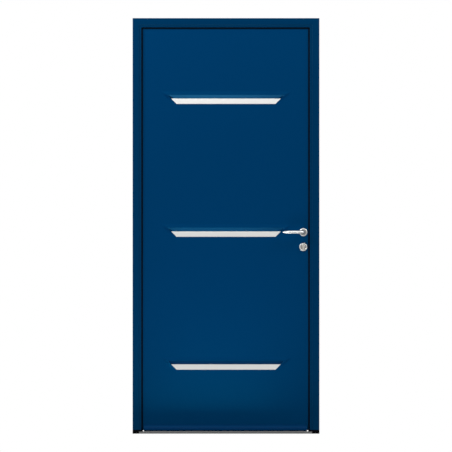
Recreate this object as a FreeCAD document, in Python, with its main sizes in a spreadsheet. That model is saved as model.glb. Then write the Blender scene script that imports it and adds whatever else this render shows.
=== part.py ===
"""Steel front door: frame, inward-opening insulated leaf, lever handle and threshold.

Millimetres. +Z is up, the outside of the door faces -Y and the hinges are at -X. The origin is
the middle of the threshold's underside.
"""

import FreeCAD, Part
import Sketcher

import math
import os
import re

# Driving dimensions
SIZES = {
    # Frame tubes and their inner lip
    "frame_width": 980,
    "frame_height": 2180,
    "frame_depth": 64,
    "hinge_tube": 33.5,
    "lock_tube": 38,
    "head_tube": 36,
    "tube_round": 2.5,
    "lip_width": 12.5,
    "lip_setback": 4,
    "lip_thickness": 11,
    "lip_round": 1.5,
    "mitre_overrun": 40,
    # Threshold and feet
    "foot_height": 20,
    "foot_round": 2,
    "sill_height": 12,
    "sill_front_height": 10.5,
    "sill_slope_depth": 14,
    "sill_front_round": 1.5,
    "tread_groove_width": 3,
    "tread_groove_depth": 1,
    "tread_groove_pitch": 7,
    "tread_groove_inset": 6,
    # Gaskets
    "gasket_reach": 8,
    "gasket_back": 7,
    "gasket_shoulder": 2.7,
    "gasket_nose": 5,
    "gasket_bulge": 6,
    "gasket_play": 0.4,
    # Leaf
    "leaf_recess": 18,
    "hinge_gap": 5,
    "lock_gap": 8.5,
    "head_gap": 5,
    "leaf_lift": 18,
    "skin": 1,
    "skin_return": 12,
    "skin_round": 1.5,
    "stile_width": 60,
    "rail_height": 60,
    # Scoops and inserts
    "scoop_foot_gap": 347,
    "scoop_head_gap": 380,
    "insert_height": 30,
    "insert_top_width": 580,
    "insert_plate": 1.5,
    "facet_height": 19,
    "scoop_depth": 9,
    "swell_height": 22,
    "swell_rise": 3,
    # Weather bar and bottom seal
    "bar_height": 32,
    "bar_drop": 0.5,
    "bar_reach": 24,
    "bar_top_lip": 3,
    "bar_cove": 22.5,
    "bar_round": 1.2,
    "bar_hinge_inset": 5,
    "bar_lock_inset": 7,
    "seal_width": 10,
    "seal_play": 0.5,
    "seal_setback": 6,
    "seal_flare": 3,
    # Hinges
    "hinge_height": 100,
    "hinge_foot_gap": 232,
    "hinge_head_gap": 229,
    "hinge_plate": 3,
    "hinge_plate_width": 26,
    "hinge_plate_edge": 6,
    "hinge_plate_bevel": 4,
    "knuckle_radius": 8,
    "axis_proud": 10,
    "pin_radius": 5,
    "pin_play": 0.08,
    "knuckle_play": 0.3,
    # Lock and strikes
    "backset": 37.5,
    "handle_height": 1057,
    "key_drop": 70,
    "key_rose_drop": 8,
    "faceplate_width": 22,
    "faceplate_foot_gap": 222,
    "faceplate_head_gap": 299,
    "faceplate_thickness": 3,
    "bolt_depth": 18,
    "latch_offset": 30,
    "latch_length": 32,
    "latch_width": 12,
    "latch_bevel": 8,
    "dead_offset": -96,
    "dead_length": 36,
    "dead_width": 14,
    "upper_bolt_drop": 382,
    "lower_bolt_rise": 339,
    "outer_bolt_length": 28,
    "outer_bolt_width": 14,
    "bolt_play": 0.3,
    "strike_thickness": 1.5,
    "strike_width": 26,
    "strike_margin": 22,
    "strike_play": 3,
    "strike_well": 22,
    # Handle
    "rose_radius": 22,
    "rose_thickness": 9,
    "neck_radius": 9,
    "neck_play": 0.3,
    "lever_stand": 50,
    "lever_bend": 14,
    "lever_length": 110,
    "lever_taper": 40,
    "lever_nose": 3.2,
    "lever_nose_bevel": 1.6,
    "spindle_side": 8,
    "spindle_hole": 11,
    # Key cylinder
    "cylinder_radius": 8.5,
    "cylinder_web": 10,
    "cylinder_height": 33,
    "cylinder_proud": 2,
    "cylinder_play": 0.3,
    "plug_radius": 6.5,
    "plug_proud": 0.6,
    "keyway_width": 2.4,
    "keyway_height": 9,
    "keyway_depth": 4,
    # Wall fixings
    "fixing_radius": 4,
    "fixing_end": 330,
    # How far a cut runs past the face it opens
    "cut_margin": 5,
}
HINGES = 3
FIXINGS = 4
TREAD_GROOVES = 3
SCOOPS = ("bottom", "middle", "top")
SWELL_STEPS = 4
ELBOW_STEPS = 3
TOUCH = 0.01

doc = FreeCAD.newDocument("SteelFrontDoor")
sheet = doc.addObject("Spreadsheet::Sheet", "Sizes")
for row, (name, size) in enumerate(SIZES.items(), start=1):
    sheet.set(f"A{row}", name)
    sheet.set(f"B{row}", str(size))
    sheet.setAlias(f"B{row}", name)
doc.recompute()


# Expressions over the sheet
def bound(text):
    """An expression over the sheet's aliases, written with their bare names."""
    return re.sub(r"[a-z_]+", lambda m: f"Sizes.{m[0]}" if m[0] in SIZES else m[0], str(text))


def value(text):
    return float(sheet.evalExpression(bound(text)))


def span(low, high):
    return f"(({high}) - ({low}))"


def ordered(first, second):
    return sorted((first, second), key=value)


# Places that follow from the driving dimensions
front = "(-frame_depth / 2)"
back = "(frame_depth / 2)"
left = "(-frame_width / 2)"
right = "(frame_width / 2)"
rebate_left = f"({left} + hinge_tube)"
rebate_right = f"({right} - lock_tube)"
rebate_top = "(frame_height - head_tube)"
lip_front = f"({front} + lip_setback)"
lip_back = f"({lip_front} + lip_thickness)"
leaf_front = f"({front} + leaf_recess)"
leaf_back = back
leaf_middle = f"(({leaf_front} + {leaf_back}) / 2)"
leaf_left = f"({rebate_left} + hinge_gap)"
leaf_right = f"({rebate_right} - lock_gap)"
leaf_top = f"({rebate_top} - head_gap)"
leaf_bottom = "leaf_lift"
axis_x = f"(({rebate_left} + {leaf_left}) / 2)"
axis_y = f"({leaf_back} + axis_proud)"
handle_x = f"({leaf_right} - backset)"
key_height = "(handle_height - key_drop)"
key_rose_height = f"({key_height} - key_rose_drop)"


# Sketches
def new_body(label):
    body = doc.addObject("PartDesign::Body", label)
    body.Label = label
    return body


def new_sketch(body, role, offset, name, corner=("0", "0"), degrees=0):
    """An empty sketch on one of the piece's own planes, moved to corner and lifted by offset.

    It may be turned about its own upright axis.
    """
    plane = next(item for item in body.Origin.OriginFeatures if item.Role == role)
    sketch = body.newObject("Sketcher::SketchObject", name)
    sketch.AttachmentSupport = (plane, [""])
    sketch.MapMode = "FlatFace"
    upright = FreeCAD.Vector(0, 1, 0)
    sketch.AttachmentOffset = FreeCAD.Placement(FreeCAD.Vector(), FreeCAD.Rotation(upright, degrees))
    for axis, size in zip("xyz", (*corner, offset)):
        sketch.setExpression(f"AttachmentOffset.Base.{axis}", bound(size))
    return sketch


def bind(sketch, constraint, size):
    number = sketch.addConstraint(constraint)
    sketch.setExpression(f"Constraints[{number}]", bound(size))


def arc_between(start, end, radius, side):
    """The shorter arc from start to end: side 1 runs anticlockwise and -1 clockwise."""
    chord = end - start
    rise = math.sqrt(max(radius**2 - (chord.Length / 2) ** 2, 0))
    across = FreeCAD.Vector(-chord.y, chord.x, 0).normalize()
    centre = (start + end) / 2 + across * rise * side
    first, last = (start, end) if side > 0 else (end, start)
    angles = [math.atan2(point.y - centre.y, point.x - centre.x) for point in (first, last)]
    if angles[1] < angles[0]:
        angles[1] += 2 * math.pi
    return Part.ArcOfCircle(Part.Circle(centre, FreeCAD.Vector(0, 0, 1), radius), *angles)


def outline(body, role, points, offset="0", name="Outline", corner=("0", "0")):
    """A closed sketch through points, each bound to the sheet.

    A point is (u, v), or (u, v, radius, side) where an arc runs from it to the next point.
    """
    sketch = new_sketch(body, role, offset, name, corner)
    places = [FreeCAD.Vector(value(point[0]), value(point[1]), 0) for point in points]
    starts = []
    ends = []
    for index, point in enumerate(points):
        start, end = places[index], places[(index + 1) % len(points)]
        side = point[3] if len(point) > 2 else 1
        if len(point) > 2:
            sketch.addGeometry(arc_between(start, end, value(point[2]), side), False)
        else:
            sketch.addGeometry(Part.LineSegment(start, end), False)
        starts.append(1 if side > 0 else 2)
        ends.append(2 if side > 0 else 1)
    for index in range(len(points)):
        after = (index + 1) % len(points)
        pair = (index, ends[index], after, starts[after])
        sketch.addConstraint(Sketcher.Constraint("Coincident", *pair))
    for index, point in enumerate(points):
        for kind, size in (("DistanceX", point[0]), ("DistanceY", point[1])):
            limit = Sketcher.Constraint(kind, -1, 1, index, starts[index], value(size))
            bind(sketch, limit, size)
        if len(point) > 2:
            bind(sketch, Sketcher.Constraint("Radius", index, value(point[2])), point[2])
    return sketch


def circle(body, role, centre, radius, offset="0", name="Circle", corner=("0", "0"), degrees=0):
    """A round sketch with its centre and radius bound to the sheet."""
    sketch = new_sketch(body, role, offset, name, corner, degrees)
    middle = FreeCAD.Vector(value(centre[0]), value(centre[1]), 0)
    sketch.addGeometry(Part.Circle(middle, FreeCAD.Vector(0, 0, 1), value(radius)), False)
    for kind, size in (("DistanceX", centre[0]), ("DistanceY", centre[1])):
        bind(sketch, Sketcher.Constraint(kind, -1, 1, 0, 3, value(size)), size)
    bind(sketch, Sketcher.Constraint("Radius", 0, value(radius)), radius)
    return sketch


def rectangle(low_u, low_v, high_u, high_v):
    return [(low_u, low_v), (high_u, low_v), (high_u, high_v), (low_u, high_v)]


def square(centre_u, centre_v, half_u, half_v):
    return rectangle(
        f"{centre_u} - {half_u}",
        f"{centre_v} - {half_v}",
        f"{centre_u} + {half_u}",
        f"{centre_v} + {half_v}",
    )


# Features
def pad(body, sketch, length, reverse=False, name="Pad"):
    feature = body.newObject("PartDesign::Pad", name)
    feature.Profile = sketch
    feature.setExpression("Length", bound(length))
    feature.Reversed = reverse
    body.Tip = feature
    return feature


def pocket(body, sketch, length, name="Pocket"):
    """Cut from the sketch's plane along its normal; it must remove material."""
    doc.recompute()
    before = body.Shape.Volume
    feature = body.newObject("PartDesign::Pocket", name)
    feature.Profile = sketch
    feature.setExpression("Length", bound(length))
    feature.Reversed = True
    body.Tip = feature
    doc.recompute()
    if body.Shape.Volume > before - TOUCH:
        raise RuntimeError(f"{body.Label}: {name} cuts nothing")
    return feature


def loft_through(body, sketches, name="Loft", cut=False):
    """A loft with straight lines from each sketch to the next."""
    kind = "PartDesign::SubtractiveLoft" if cut else "PartDesign::AdditiveLoft"
    feature = body.newObject(kind, name)
    feature.Profile = sketches[0]
    feature.Sections = sketches[1:]
    feature.Ruled = True
    body.Tip = feature
    return feature


def loft(body, sections, cut=False, name="Loft"):
    """A straight-sided loft through rectangles in level planes, from the lowest up."""
    doc.recompute()
    before = body.Shape.Volume if body.Tip else 0
    sketches = []
    for index, (height, *corners) in enumerate(sections):
        sketch = outline(body, "XY_Plane", rectangle(*corners), height, f"{name}Section{index}")
        sketches.append(sketch)
    feature = loft_through(body, sketches, name, cut)
    doc.recompute()
    if cut and body.Shape.Volume > before - TOUCH:
        raise RuntimeError(f"{body.Label}: {name} cuts nothing")
    return feature


def edges_at(body, **places):
    """The edges whose ends all lie at the given coordinates, such as x and y."""
    doc.recompute()
    wanted = {axis: value(size) for axis, size in places.items()}
    names = []
    for number, edge in enumerate(body.Shape.Edges, start=1):
        ends = [vertex.Point for vertex in edge.Vertexes]
        misses = [abs(getattr(end, axis) - size) for end in ends for axis, size in wanted.items()]
        if max(misses) < TOUCH:
            names.append(f"Edge{number}")
    return names


def round_edges(body, radius, edges, name="Round", kind="Fillet"):
    """Round, or with kind Chamfer bevel, the named edges of the piece as it stands."""
    if not edges:
        raise RuntimeError(f"{body.Label}: {name} finds no edge")
    base = body.Tip
    feature = body.newObject(f"PartDesign::{kind}", name)
    feature.Base = (base, sorted(set(edges)))
    feature.setExpression("Radius" if kind == "Fillet" else "Size", bound(radius))
    body.Tip = feature
    doc.recompute()
    return feature


def block(label, low, high):
    """A plain rectangular piece between two corners."""
    body = new_body(label)
    sketch = outline(body, "XY_Plane", rectangle(low[0], low[1], high[0], high[1]), low[2])
    pad(body, sketch, span(low[2], high[2]))
    return body


def cut_block(body, low, high, name):
    """Take the box between two corners out of a piece."""
    sketch = outline(body, "XY_Plane", rectangle(low[0], low[1], high[0], high[1]), low[2], name)
    pocket(body, sketch, span(low[2], high[2]), f"{name}Pocket")


# Frame: closed steel tubes with a set-back lip, mitred at the head and standing on the feet.
# They are solid inside, apart from the wells that take the bolts.
def mitre_line(outer, rebate, inward):
    """From the frame's outer corner through its rebate corner and on past its lip."""
    lip = f"({rebate} + {inward} * lip_width)"
    return [
        (outer, "frame_height"),
        (rebate, rebate_top),
        (lip, f"({rebate_top} - lip_width)"),
        (f"({lip} + {inward} * mitre_overrun)", f"({rebate_top} - lip_width - mitre_overrun)"),
    ]


def cut_mitre(body, points, name):
    sketch = outline(body, "XZ_Plane", points, f"-({back} + cut_margin)", name)
    pocket(body, sketch, "frame_depth + 2 * cut_margin", f"{name}Pocket")


def above_mitre(outer, rebate, inward):
    line = mitre_line(outer, rebate, inward)
    over = "frame_height + cut_margin"
    return line + [(line[-1][0], over), (outer, over)]


def below_mitre(outer, rebate, inward):
    line = mitre_line(outer, rebate, inward)
    beyond = f"({outer} - {inward} * cut_margin)"
    return line + [(beyond, line[-1][1]), (beyond, "frame_height")]


def tube_section(outer, rebate, inward):
    """Across the tube, v runs from the outside of the house inwards."""
    lip = f"({rebate} + {inward} * lip_width)"
    return [
        (outer, front),
        (rebate, front),
        (rebate, lip_front),
        (lip, lip_front),
        (lip, lip_back),
        (rebate, lip_back),
        (rebate, back),
        (outer, back),
    ]


def gasket_section(rebate, inward):
    """A flat fin behind the lip and a bulb beyond its edge."""
    lip = f"({rebate} + {inward} * lip_width)"
    seat = f"({lip} - {inward} * gasket_back)"
    tip = f"({lip} + {inward} * gasket_reach)"
    touch = f"({leaf_front} - gasket_play)"
    nose = f"({lip_back} - gasket_nose)"
    return [
        (seat, lip_back),
        (lip, lip_back),
        (lip, nose),
        (f"({lip} + {inward} * gasket_shoulder)", nose, "gasket_bulge", inward),
        (tip, f"({touch} - gasket_play)"),
        (tip, touch),
        (seat, touch),
    ]


def jamb(label, outer, rebate, inward):
    lip = f"({rebate} + {inward} * lip_width)"
    low, high = ordered(outer, rebate)
    body = new_body(label)
    section = outline(body, "XY_Plane", tube_section(outer, rebate, inward), "foot_height")
    pad(body, section, span("foot_height", "frame_height"))
    corners = edges_at(body, x=outer, y=front) + edges_at(body, x=rebate, y=front)
    corners += edges_at(body, x=outer, y=back) + edges_at(body, x=rebate, y=back)
    round_edges(body, "tube_round", corners, "TubeRound")
    round_edges(body, "lip_round", edges_at(body, x=lip, y=lip_front), "LipRound")
    cut_mitre(body, above_mitre(outer, rebate, inward), "Mitre")
    for index in range(FIXINGS):
        height = f"fixing_end + {index} * (frame_height - 2 * fixing_end) / {FIXINGS - 1}"
        hole = circle(body, "YZ_Plane", (leaf_middle, height), "fixing_radius", low, f"Fixing{index}")
        pocket(body, hole, span(low, high), f"FixingHole{index}")
    return body


def side_gasket(label, outer, rebate, inward):
    body = new_body(label)
    section = outline(body, "XY_Plane", gasket_section(rebate, inward), "sill_height")
    pad(body, section, span("sill_height", "frame_height"))
    cut_mitre(body, above_mitre(outer, rebate, inward), "Mitre")
    return body


def foot(label, outer, rebate, inward):
    """A moulded foot: a block under the tube, and a tongue under the lip over the threshold."""
    lip = f"({rebate} + {inward} * lip_width)"
    low, high = ordered(outer, rebate)
    body = block(label, (low, front, "0"), (high, back, "foot_height"))
    round_edges(body, "foot_round", edges_at(body, x=outer, y=front), "FrontRound")
    tongue_low, tongue_high = ordered(rebate, lip)
    tongue_section = rectangle(tongue_low, lip_front, tongue_high, lip_back)
    tongue = outline(body, "XY_Plane", tongue_section, "sill_height", "Tongue")
    pad(body, tongue, span("sill_height", "foot_height"))
    return body


hinge_side = (left, rebate_left, 1)
lock_side = (right, rebate_right, -1)
jamb("frame_jamb_hinge_side", *hinge_side)
lock_jamb = jamb("frame_jamb_lock_side", *lock_side)
side_gasket("gasket_hinge_side", *hinge_side)
side_gasket("gasket_lock_side", *lock_side)
foot("foot_hinge_side", *hinge_side)
foot("foot_lock_side", *lock_side)

frame_head = new_body("frame_head")
head_section = [(v, u) for u, v in tube_section("frame_height", rebate_top, -1)]
pad(frame_head, outline(frame_head, "YZ_Plane", head_section, left), "frame_width")
for height in ("frame_height", rebate_top):
    for depth in (front, back):
        corner_edges = edges_at(frame_head, y=depth, z=height)
        round_edges(frame_head, "tube_round", corner_edges, "TubeRound")
head_lip = f"({rebate_top} - lip_width)"
round_edges(frame_head, "lip_round", edges_at(frame_head, y=lip_front, z=head_lip), "LipRound")

gasket_head = new_body("gasket_head")
head_gasket = []
for point in gasket_section(rebate_top, -1):
    flipped = (point[1], point[0])
    head_gasket.append(flipped + ((point[2], -point[3]) if len(point) > 2 else ()))
pad(gasket_head, outline(gasket_head, "YZ_Plane", head_gasket, left), "frame_width")
for body in (frame_head, gasket_head):
    cut_mitre(body, below_mitre(*hinge_side), "HingeMitre")
    cut_mitre(body, below_mitre(*lock_side), "LockMitre")

# Threshold: an aluminium profile that slopes to the outside, with tread grooves inside
threshold = new_body("threshold")
sill_section = [
    (front, "0"),
    (back, "0"),
    (back, "sill_height"),
    (f"({front} + sill_slope_depth)", "sill_height"),
    (front, "sill_front_height"),
]
sill_length = span(rebate_left, rebate_right)
pad(threshold, outline(threshold, "YZ_Plane", sill_section, rebate_left), sill_length)
front_edge = edges_at(threshold, y=front, z="sill_front_height")
round_edges(threshold, "sill_front_round", front_edge, "FrontRound")
for index in range(TREAD_GROOVES):
    groove_back = f"({back} - tread_groove_inset - {index} * tread_groove_pitch)"
    cut_block(
        threshold,
        (rebate_left, f"({groove_back} - tread_groove_width)", "sill_height - tread_groove_depth"),
        (rebate_right, groove_back, "sill_height + cut_margin"),
        f"TreadGroove{index}",
    )

# Leaf: two folded steel skins over timber stiles and rails with an insulating core
inner_left = f"({leaf_left} + stile_width)"
inner_right = f"({leaf_right} - stile_width)"
core_bottom = f"({leaf_bottom} + rail_height)"
core_top = f"({leaf_top} - rail_height)"
skin_front = f"({leaf_front} + skin)"
skin_back = f"({leaf_back} - skin)"
return_front = f"({leaf_front} + skin_return)"
return_back = f"({leaf_back} - skin_return)"


def edge_section(edge, inner, inward):
    """A stile's or rail's section: its middle fills the gap between the skins' returns."""
    under = f"({edge} + {inward} * skin)"
    return [
        (under, skin_front),
        (inner, skin_front),
        (inner, skin_back),
        (under, skin_back),
        (under, return_back),
        (edge, return_back),
        (edge, return_front),
        (under, return_front),
    ]


def stile(label, edge, inner, inward):
    body = new_body(label)
    section = outline(body, "XY_Plane", edge_section(edge, inner, inward), f"({leaf_bottom} + skin)")
    pad(body, section, f"{leaf_top} - {leaf_bottom} - 2 * skin")
    return body


def rail(label, edge, inner, inward):
    body = new_body(label)
    section = [(v, u) for u, v in edge_section(edge, inner, inward)]
    pad(body, outline(body, "YZ_Plane", section, inner_left), span(inner_left, inner_right))
    return body


def skin_pan(label, face, inward):
    """A folded steel sheet: a face with four returns along the leaf's edges."""
    rim_low, rim_high = ordered(face, f"({face} + {inward} * skin_return)")
    body = new_body(label)
    outer = rectangle(leaf_left, leaf_bottom, leaf_right, leaf_top)
    pad(body, outline(body, "XZ_Plane", outer, f"-{rim_high}"), span(rim_low, rim_high))
    folds = edges_at(body, x=leaf_left, y=face) + edges_at(body, x=leaf_right, y=face)
    folds += edges_at(body, z=leaf_bottom, y=face) + edges_at(body, z=leaf_top, y=face)
    round_edges(body, "skin_round", folds, "Folds")
    well_low, well_high = ordered(
        f"({face} + {inward} * skin)",
        f"({face} + {inward} * (skin_return + cut_margin))",
    )
    cut_block(
        body,
        (f"({leaf_left} + skin)", well_low, f"({leaf_bottom} + skin)"),
        (f"({leaf_right} - skin)", well_high, f"({leaf_top} - skin)"),
        "Well",
    )
    return body


stile("leaf_hinge_stile", leaf_left, inner_left, 1)
lock_stile = stile("leaf_lock_stile", leaf_right, inner_right, -1)
rail("leaf_bottom_rail", leaf_bottom, core_bottom, 1)
rail("leaf_top_rail", leaf_top, core_top, -1)
core = block("leaf_core", (inner_left, skin_front, core_bottom), (inner_right, skin_back, core_top))
outer_skin = skin_pan("leaf_outer_skin", leaf_front, 1)
inner_skin = skin_pan("leaf_inner_skin", leaf_back, -1)


# Scoops: a swell runs out to a ridge, and a mitred facet turns back in to the insert's head
def across(height, half, low, high):
    """A loft section: a rectangle centred on the door, between two depths behind the leaf's face."""
    return (height, f"-({half})", f"{leaf_front} + {low}", half, f"{leaf_front} + {high}")


half_top = "insert_top_width / 2"
lowest_scoop = f"({leaf_bottom} + scoop_foot_gap)"
highest_scoop = f"({leaf_top} - scoop_head_gap)"
for index, place in enumerate(SCOOPS):
    share = f"{index} / {len(SCOOPS) - 1}"
    head_line = f"({lowest_scoop} + {share} * ({highest_scoop} - {lowest_scoop}))"
    foot_line = f"({head_line} - insert_height)"
    ridge = f"({head_line} + facet_height)"
    seat = [
        across(foot_line, f"{half_top} - insert_height + skin", "0", "insert_plate + skin"),
        across(head_line, f"{half_top} + skin", "0", "scoop_depth + skin"),
        across(ridge, f"{half_top} + facet_height + skin", "-swell_rise", "skin"),
    ]
    swell = []
    for step in range(1, SWELL_STEPS + 1):
        share = step / SWELL_STEPS
        rise = (1 + math.cos(math.pi * share)) / 2
        level = f"({ridge} + {share} * swell_height)"
        half = f"{half_top} + facet_height + skin + {share} * swell_height"
        swell.append(across(level, half, f"-{rise:.4f} * swell_rise", "skin"))
    hollow = [
        across(foot_line, f"{half_top} - insert_height", "-cut_margin", "insert_plate"),
        across(head_line, half_top, "-cut_margin", "scoop_depth"),
        across(ridge, f"{half_top} + facet_height", "-cut_margin", "-swell_rise"),
    ]
    loft(outer_skin, seat + swell, name=f"Pressing{index}")
    loft(outer_skin, hollow, cut=True, name=f"Hollow{index}")
    loft(core, seat, cut=True, name=f"Pressing{index}")
    plate = new_body(f"insert_{place}")
    plate_sections = [
        across(foot_line, f"{half_top} - insert_height", "0", "insert_plate"),
        across(head_line, half_top, "scoop_depth - insert_plate", "scoop_depth"),
    ]
    loft(plate, plate_sections, name="Plate")

# Weather bar: a coved drip along the foot of the leaf, and the seal behind it
bar_bottom = f"({leaf_bottom} - bar_drop)"
bar_top = f"({bar_bottom} + bar_height)"
bar_front = f"({leaf_front} - bar_reach)"
bar_left = f"({rebate_left} + lip_width + gasket_reach + bar_hinge_inset)"
bar_right = f"({rebate_right} - lip_width - gasket_reach - bar_lock_inset)"
weather_bar = new_body("weather_bar")
bar_section = rectangle(bar_front, bar_bottom, leaf_front, bar_top)
pad(weather_bar, outline(weather_bar, "YZ_Plane", bar_section, bar_left), span(bar_left, bar_right))
cove_centre = (f"{leaf_front} - bar_top_lip - bar_cove", bar_top)
cove = circle(weather_bar, "YZ_Plane", cove_centre, "bar_cove", bar_left, "CoveOutline")
pocket(weather_bar, cove, span(bar_left, bar_right), "Cove")
round_edges(weather_bar, "bar_round", edges_at(weather_bar, y=bar_front, z=bar_bottom), "DripRound")

seal_front = f"({leaf_front} + seal_setback)"
seal_back = f"({seal_front} + seal_width)"
bottom_seal = new_body("bottom_seal")
seal_foot = "(sill_height + seal_play)"
seal_section = [
    (f"({seal_front} - seal_flare)", seal_foot),
    (f"({seal_back} - seal_flare)", seal_foot),
    (seal_back, leaf_bottom),
    (seal_front, leaf_bottom),
]
pad(bottom_seal, outline(bottom_seal, "YZ_Plane", seal_section, bar_left), span(bar_left, bar_right))

# Hinges: a frame half that carries the pin, and a leaf half that turns on it
axis = (axis_x, axis_y)
frame_plate_right = f"({axis_x} - hinge_plate_edge)"
frame_plate_left = f"({frame_plate_right} - hinge_plate_width)"
leaf_plate_left = f"({axis_x} + hinge_plate_edge)"
leaf_plate_right = f"({leaf_plate_left} + hinge_plate_width)"
plate_back = f"({back} + hinge_plate)"
hinge_lowest = f"({leaf_bottom} + hinge_foot_gap)"
hinge_highest = f"({leaf_top} - hinge_head_gap)"


def hinge_half(label, low, far, near, knuckle_low, knuckle_high):
    """A plate with bevelled far corners, and a knuckle joined to it by its own web."""
    plate_low, plate_high = ordered(far, near)
    high = f"({low} + hinge_height)"
    body = block(label, (plate_low, back, low), (plate_high, plate_back, high))
    corners = edges_at(body, x=far, z=low) + edges_at(body, x=far, z=high)
    round_edges(body, "hinge_plate_bevel", corners, "PlateBevel", "Chamfer")
    web_low, web_high = ordered(near, axis_x)
    web = rectangle(web_low, back, web_high, plate_back)
    pad(body, outline(body, "XY_Plane", web, knuckle_low, "Web"), span(knuckle_low, knuckle_high))
    knuckle = circle(body, "XY_Plane", axis, "knuckle_radius", knuckle_low, "Knuckle")
    pad(body, knuckle, span(knuckle_low, knuckle_high))
    return body


for index in range(HINGES):
    low = f"({hinge_lowest} + {index} * ({hinge_highest} - {hinge_lowest}) / {HINGES - 1})"
    middle = f"({low} + hinge_height / 2)"
    upper = f"({middle} + knuckle_play)"
    high = f"({low} + hinge_height)"
    label = f"hinge_frame_half_{index + 1}"
    half = hinge_half(label, low, frame_plate_left, frame_plate_right, low, middle)
    pin = circle(half, "XY_Plane", axis, "pin_radius", middle, "Pin")
    pad(half, pin, span(middle, high))
    label = f"hinge_leaf_half_{index + 1}"
    half = hinge_half(label, low, leaf_plate_right, leaf_plate_left, upper, high)
    bore = circle(half, "XY_Plane", axis, "pin_radius + pin_play", upper, "Bore")
    pocket(half, bore, span(upper, high), "BorePocket")

# Lock: a faceplate let into the lock stile, its bolts drawn back, and the strike plates opposite
face_low = f"({leaf_bottom} + faceplate_foot_gap)"
face_high = f"({leaf_top} - faceplate_head_gap)"
face_back = f"({leaf_right} - faceplate_thickness)"
face_near = f"({leaf_middle} - faceplate_width / 2)"
face_far = f"({leaf_middle} + faceplate_width / 2)"
bolt_back = f"({leaf_right} - bolt_depth)"
past_edge = f"({leaf_right} + cut_margin)"
faceplate = block("lock_faceplate", (face_back, face_near, face_low), (leaf_right, face_far, face_high))
cut_block(
    lock_stile,
    (face_back, face_near, face_low),
    (past_edge, face_far, face_high),
    "FaceplateSeat",
)
BOLTS = {
    "latch_bolt": ("(handle_height + latch_offset)", "latch_length", "latch_width"),
    "dead_bolt": ("(handle_height + dead_offset)", "dead_length", "dead_width"),
    "upper_bolt": (f"({leaf_top} - upper_bolt_drop)", "outer_bolt_length", "outer_bolt_width"),
    "lower_bolt": (f"({leaf_bottom} + lower_bolt_rise)", "outer_bolt_length", "outer_bolt_width"),
}


def around(bolt, play):
    """The low and high Y and Z that leave a play around a bolt."""
    centre, length, width = BOLTS[bolt]
    return (
        f"({leaf_middle} - {width} / 2 - {play})",
        f"({centre} - {length} / 2 - {play})",
        f"({leaf_middle} + {width} / 2 + {play})",
        f"({centre} + {length} / 2 + {play})",
    )


for label in BOLTS:
    near, low, far, high = around(label, "0")
    bolt = block(label, (bolt_back, near, low), (leaf_right, far, high))
    if label == "latch_bolt":
        bevel = [
            (leaf_right, near),
            (leaf_right, far),
            (f"({leaf_right} - latch_bevel)", far),
        ]
        pocket(bolt, outline(bolt, "XY_Plane", bevel, low, "Bevel"), span(low, high), "BevelPocket")
    near, low, far, high = around(label, "bolt_play")
    for piece in (faceplate, lock_stile):
        cut_block(piece, (bolt_back, near, low), (past_edge, far, high), f"{label}_hole")

STRIKES = {
    "strike_plate_middle": ("dead_bolt", "latch_bolt"),
    "strike_plate_top": ("upper_bolt",),
    "strike_plate_bottom": ("lower_bolt",),
}
strike_face = f"({rebate_right} - strike_thickness)"
strike_near = f"({leaf_middle} - strike_width / 2)"
strike_far = f"({leaf_middle} + strike_width / 2)"
for label, bolts in STRIKES.items():
    low = around(bolts[0], "strike_margin")[1]
    high = around(bolts[-1], "strike_margin")[3]
    strike = block(label, (strike_face, strike_near, low), (rebate_right, strike_far, high))
    for bolt in bolts:
        near, low, far, high = around(bolt, "strike_play")
        cut_block(strike, (strike_face, near, low), (rebate_right, far, high), f"{bolt}_hole")
        well_end = f"({rebate_right} + strike_well)"
        cut_block(lock_jamb, (rebate_right, near, low), (well_end, far, high), f"{bolt}_well")

# Key cylinder: a round barrel over a narrow web, right through the leaf, with a plug at each end
outside_end = f"({leaf_front} - rose_thickness - cylinder_proud)"
inside_end = f"({leaf_back} + rose_thickness + cylinder_proud)"
web_foot = f"({key_height} + cylinder_radius - cylinder_height)"


def cylinder_outlines(body, play, offset, name):
    """The cylinder's profile as two overlapping sketches, grown by a play."""
    barrel_radius = f"(cylinder_radius + {play})"
    web_half = f"(cylinder_web / 2 + {play})"
    web = rectangle(
        f"({handle_x} - {web_half})",
        f"({web_foot} - {play})",
        f"({handle_x} + {web_half})",
        key_height,
    )
    barrel = circle(body, "XZ_Plane", (handle_x, key_height), barrel_radius, offset, f"{name}Barrel")
    return barrel, outline(body, "XZ_Plane", web, offset, f"{name}Web")


def cut_cylinder(body, play, low, high):
    for sketch in cylinder_outlines(body, play, f"-{high}", "Key"):
        pocket(body, sketch, span(low, high), f"{sketch.Label}Pocket")


def cut_round(body, height, radius, low, high, name):
    sketch = circle(body, "XZ_Plane", (handle_x, height), radius, f"-{high}", name)
    pocket(body, sketch, span(low, high), f"{name}Pocket")


cylinder = new_body("lock_cylinder")
for sketch in cylinder_outlines(cylinder, "0", f"-{inside_end}", "Profile"):
    pad(cylinder, sketch, span(outside_end, inside_end))
plug_outside = f"({outside_end} - plug_proud)"
plug_inside = f"({inside_end} + plug_proud)"
plug = circle(cylinder, "XZ_Plane", (handle_x, key_height), "plug_radius", f"-{plug_inside}", "Plug")
pad(cylinder, plug, span(plug_outside, plug_inside))
keyway = square(handle_x, key_height, "keyway_width / 2", "keyway_height / 2")
for name, start in (("Outside", f"({plug_outside} + keyway_depth)"), ("Inside", plug_inside)):
    slot = outline(cylinder, "XZ_Plane", keyway, f"-{start}", f"{name}Keyway")
    pocket(cylinder, slot, "keyway_depth", f"{name}KeywayPocket")


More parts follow.
